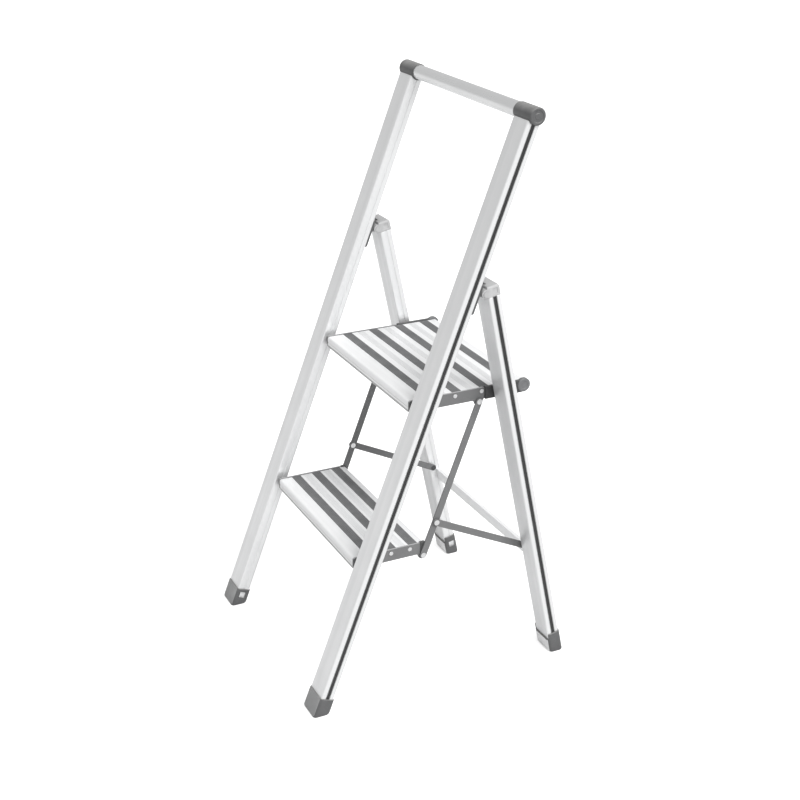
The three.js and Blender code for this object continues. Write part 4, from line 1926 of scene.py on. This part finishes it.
@dataclass
class Frame:
    """The sawn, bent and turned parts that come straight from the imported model.

    Args:
        finishes: by the end of a node's name; the first that fits counts.
        rubbed: the finish of the side plates' upper edges.
        rubbed_depth: how far down those reach.
    """

    finishes: dict[str, Finish]
    rubbed: Finish
    rubbed_depth: float = 4 * MM

    def build(self) -> None:
        """Gives each shown node the finish whose key ends its name."""
        for name, node in frame["nodes"].items():
            key = next((k for k in self.finishes if name.endswith(k)), None)
            if key and not node.hide_render:
                dress(node, self.finishes[key])
                LOG.info("%s: %s", name, self.finishes[key].name)
            if key == "plate":
                self.rub_top(node)

    def rub_top(self, node: bpy.types.Object) -> None:
        """Gives the upper edge of a side plate, which feet rub, a paler finish.

        Args:
            node: the side plate.
        """
        node.data.materials.append(self.rubbed.material())
        top = max(v.co.z for v in node.data.vertices) - self.rubbed_depth
        for face in node.data.polygons:
            if face.normal.z > 0.7 and face.center.z > top:
                face.material_index = 1


# ------------------------------------------------------------------ studio
@dataclass
class Studio:
    """A pale lit floor, an even sky and one wide soft light from the right.

    Args:
        floor: half the side of the floor.
        tones: of the floor, from its darkest to its palest.
        sky: brightness of the sky, where it lights the ladder.
        glow: of the floor, where it is looked at.
        sun: strength of the soft light.
        spread: angle that it fills.
        towards: the way to it.
    """

    floor: float = 30.0
    tones: tuple[float, float] = (0.7, 0.74)
    sky: float = 0.62
    glow: float = 0.85
    sun: float = 3.0
    spread: float = math.radians(35)
    towards: Point = (0.80, 0.16, 0.85)

    def add_floor(self) -> None:
        """One wide plane, with a faint mottle."""
        bpy.ops.object.select_all(action="DESELECT")
        bpy.ops.mesh.primitive_plane_add(size=2 * self.floor)
        floor = bpy.context.active_object
        floor.name = "floor"
        made = bpy.data.materials.new("floor_sheet")
        made.use_nodes = True
        graph = Graph(made.node_tree)
        shader = made.node_tree.nodes["Principled BSDF"]
        place = graph.add("ShaderNodeTexCoord").outputs["Object"]
        mottle = graph.noise(place, 3.0, 4.0)
        tone = graph.blend(mottle.outputs[0], *map(grey, self.tones))
        graph.tree.links.new(tone, shader.inputs["Base Color"])
        seen = graph.add("ShaderNodeLightPath").outputs["Is Camera Ray"]
        lit = graph.blend(seen, grey(0.0), tone)
        graph.tree.links.new(lit, shader.inputs["Emission Color"])
        shader.inputs["Emission Strength"].default_value = self.glow
        shader.inputs["Roughness"].default_value = 0.85
        floor.data.materials.append(made)

    def add_light(self) -> None:
        """The sky, white where it is looked at, and the soft light."""
        world = bpy.data.worlds.new("sky")
        bpy.context.scene.world = world
        world.use_nodes = True
        graph = Graph(world.node_tree)
        back = world.node_tree.nodes["Background"]
        seen = graph.add("ShaderNodeLightPath").outputs["Is Camera Ray"]
        graph.tree.links.new(graph.blend(seen, grey(self.sky), grey(1.0)), back.inputs[0])
        light = bpy.data.lights.new("soft_light", "SUN")
        light.energy, light.angle = self.sun, self.spread
        lamp = bpy.data.objects.new("soft_light", light)
        lamp.rotation_euler = Vector(self.towards).to_track_quat("Z", "Y").to_euler()
        bpy.context.scene.collection.objects.link(lamp)

    def build(self) -> None:
        """Adds the floor and the light, and shows values as they are."""
        self.add_floor()
        self.add_light()
        bpy.context.scene.view_settings.view_transform = "Standard"


@dataclass
class Viewpoint:
    """The camera, well above the upper tread and looking down a little.

    Args:
        place: where it stands.
        turn: round to the right from straight ahead of the ladder.
        drop: how far down it looks.
        lens: focal length in millimetres.
        film: width of the picture in the camera, in millimetres.
    """

    place: Point = (2.00255, -0.94773, 1.36955)
    turn: float = math.radians(64.11)
    drop: float = math.radians(23.12)
    lens: float = 65.896
    film: float = 36.0

    def build(self) -> None:
        """Sets the camera up and makes it the scene's own."""
        camera = bpy.data.cameras.new("camera")
        camera.lens, camera.sensor_width = self.lens, self.film
        holder = bpy.data.objects.new("camera", camera)
        flat = math.cos(self.drop)
        back = Vector((math.sin(self.turn) * flat, -math.cos(self.turn) * flat, math.sin(self.drop)))
        holder.matrix_world = (
            Matrix.Translation(self.place) @ back.to_track_quat("Z", "Y").to_matrix().to_4x4()
        )
        bpy.context.scene.collection.objects.link(holder)
        bpy.context.scene.camera = holder


# ------------------------------------------------------------------ the ladder
def main() -> None:
    """Builds the sub-assemblies in order, then the studio and the camera."""
    logging.basicConfig(level=logging.INFO, format="%(name)s: %(message)s")
    bar = GrabBar()
    front_shoe = Shoe(
        "front_foot", Body.FRONT, SIZES.stile, SIZES.stile_depth,
        height=36 * MM, foot=14 * MM, window=(11 * MM, 25 * MM), face=TOE,
    )
    rear_shoe = Shoe(
        "rear_foot", Body.REAR, SIZES.leg, SIZES.leg_depth,
        height=38 * MM, foot=8 * MM, window=(12 * MM, 21 * MM), face=PALE,
        lip=28 * MM, band=2.2 * MM,
    )
    stile_liner = SlotLiner(
        "stile_liner", Body.FRONT, SIZES.stile, SIZES.stile_depth, low=36.5 * MM, high=981.1 * MM
    )
    leg_liner = SlotLiner(
        "leg_liner", Body.REAR, SIZES.leg, SIZES.leg_depth, low=38.5 * MM, high=669 * MM
    )
    upper = TreadFittings(
        "upper", Body.UPPER,
        strips=[back * MM for back in (36.5, 85, 133.5, 182)],
        rivets=[(back * MM, 5 * MM) for back in (80, 127)],
    )
    lower = TreadFittings(
        "lower", Body.LOWER,
        strips=[back * MM for back in (31, 68.5, 106)],
        rivets=[(back * MM, 6 * MM) for back in (66, 99)],
        tail=8 * MM,
    )
    assemblies = [
        bar,
        CornerCap(bar),
        front_shoe,
        rear_shoe,
        stile_liner,
        leg_liner,
        HingeCap(),
        HingePlate(),
        upper,
        lower,
        EndCap(),
        Frame({
            "stile": STILE_METAL,
            "rear_leg": LEG_METAL,
            "crossbar": TREAD_METAL,
            "tread": TREAD_METAL,
            **{f"strip_{i}": STRIP for i in range(1, 5)},
            "plate": PAINT,
            "link": PAINT,
            "strut": PAINT,
            "hinge_bracket": DARK,
            "hinge_pin": GREY,
            "strut_pin": BLACK,
            "pin": STEEL,
            "rivet": STEEL,
        }, RUBBED),
        Studio(),
        Viewpoint(),
    ]
    for assembly in assemblies:
        LOG.info("building %s", type(assembly).__name__)
        assembly.build()


if __name__ == "__main__":
    main()
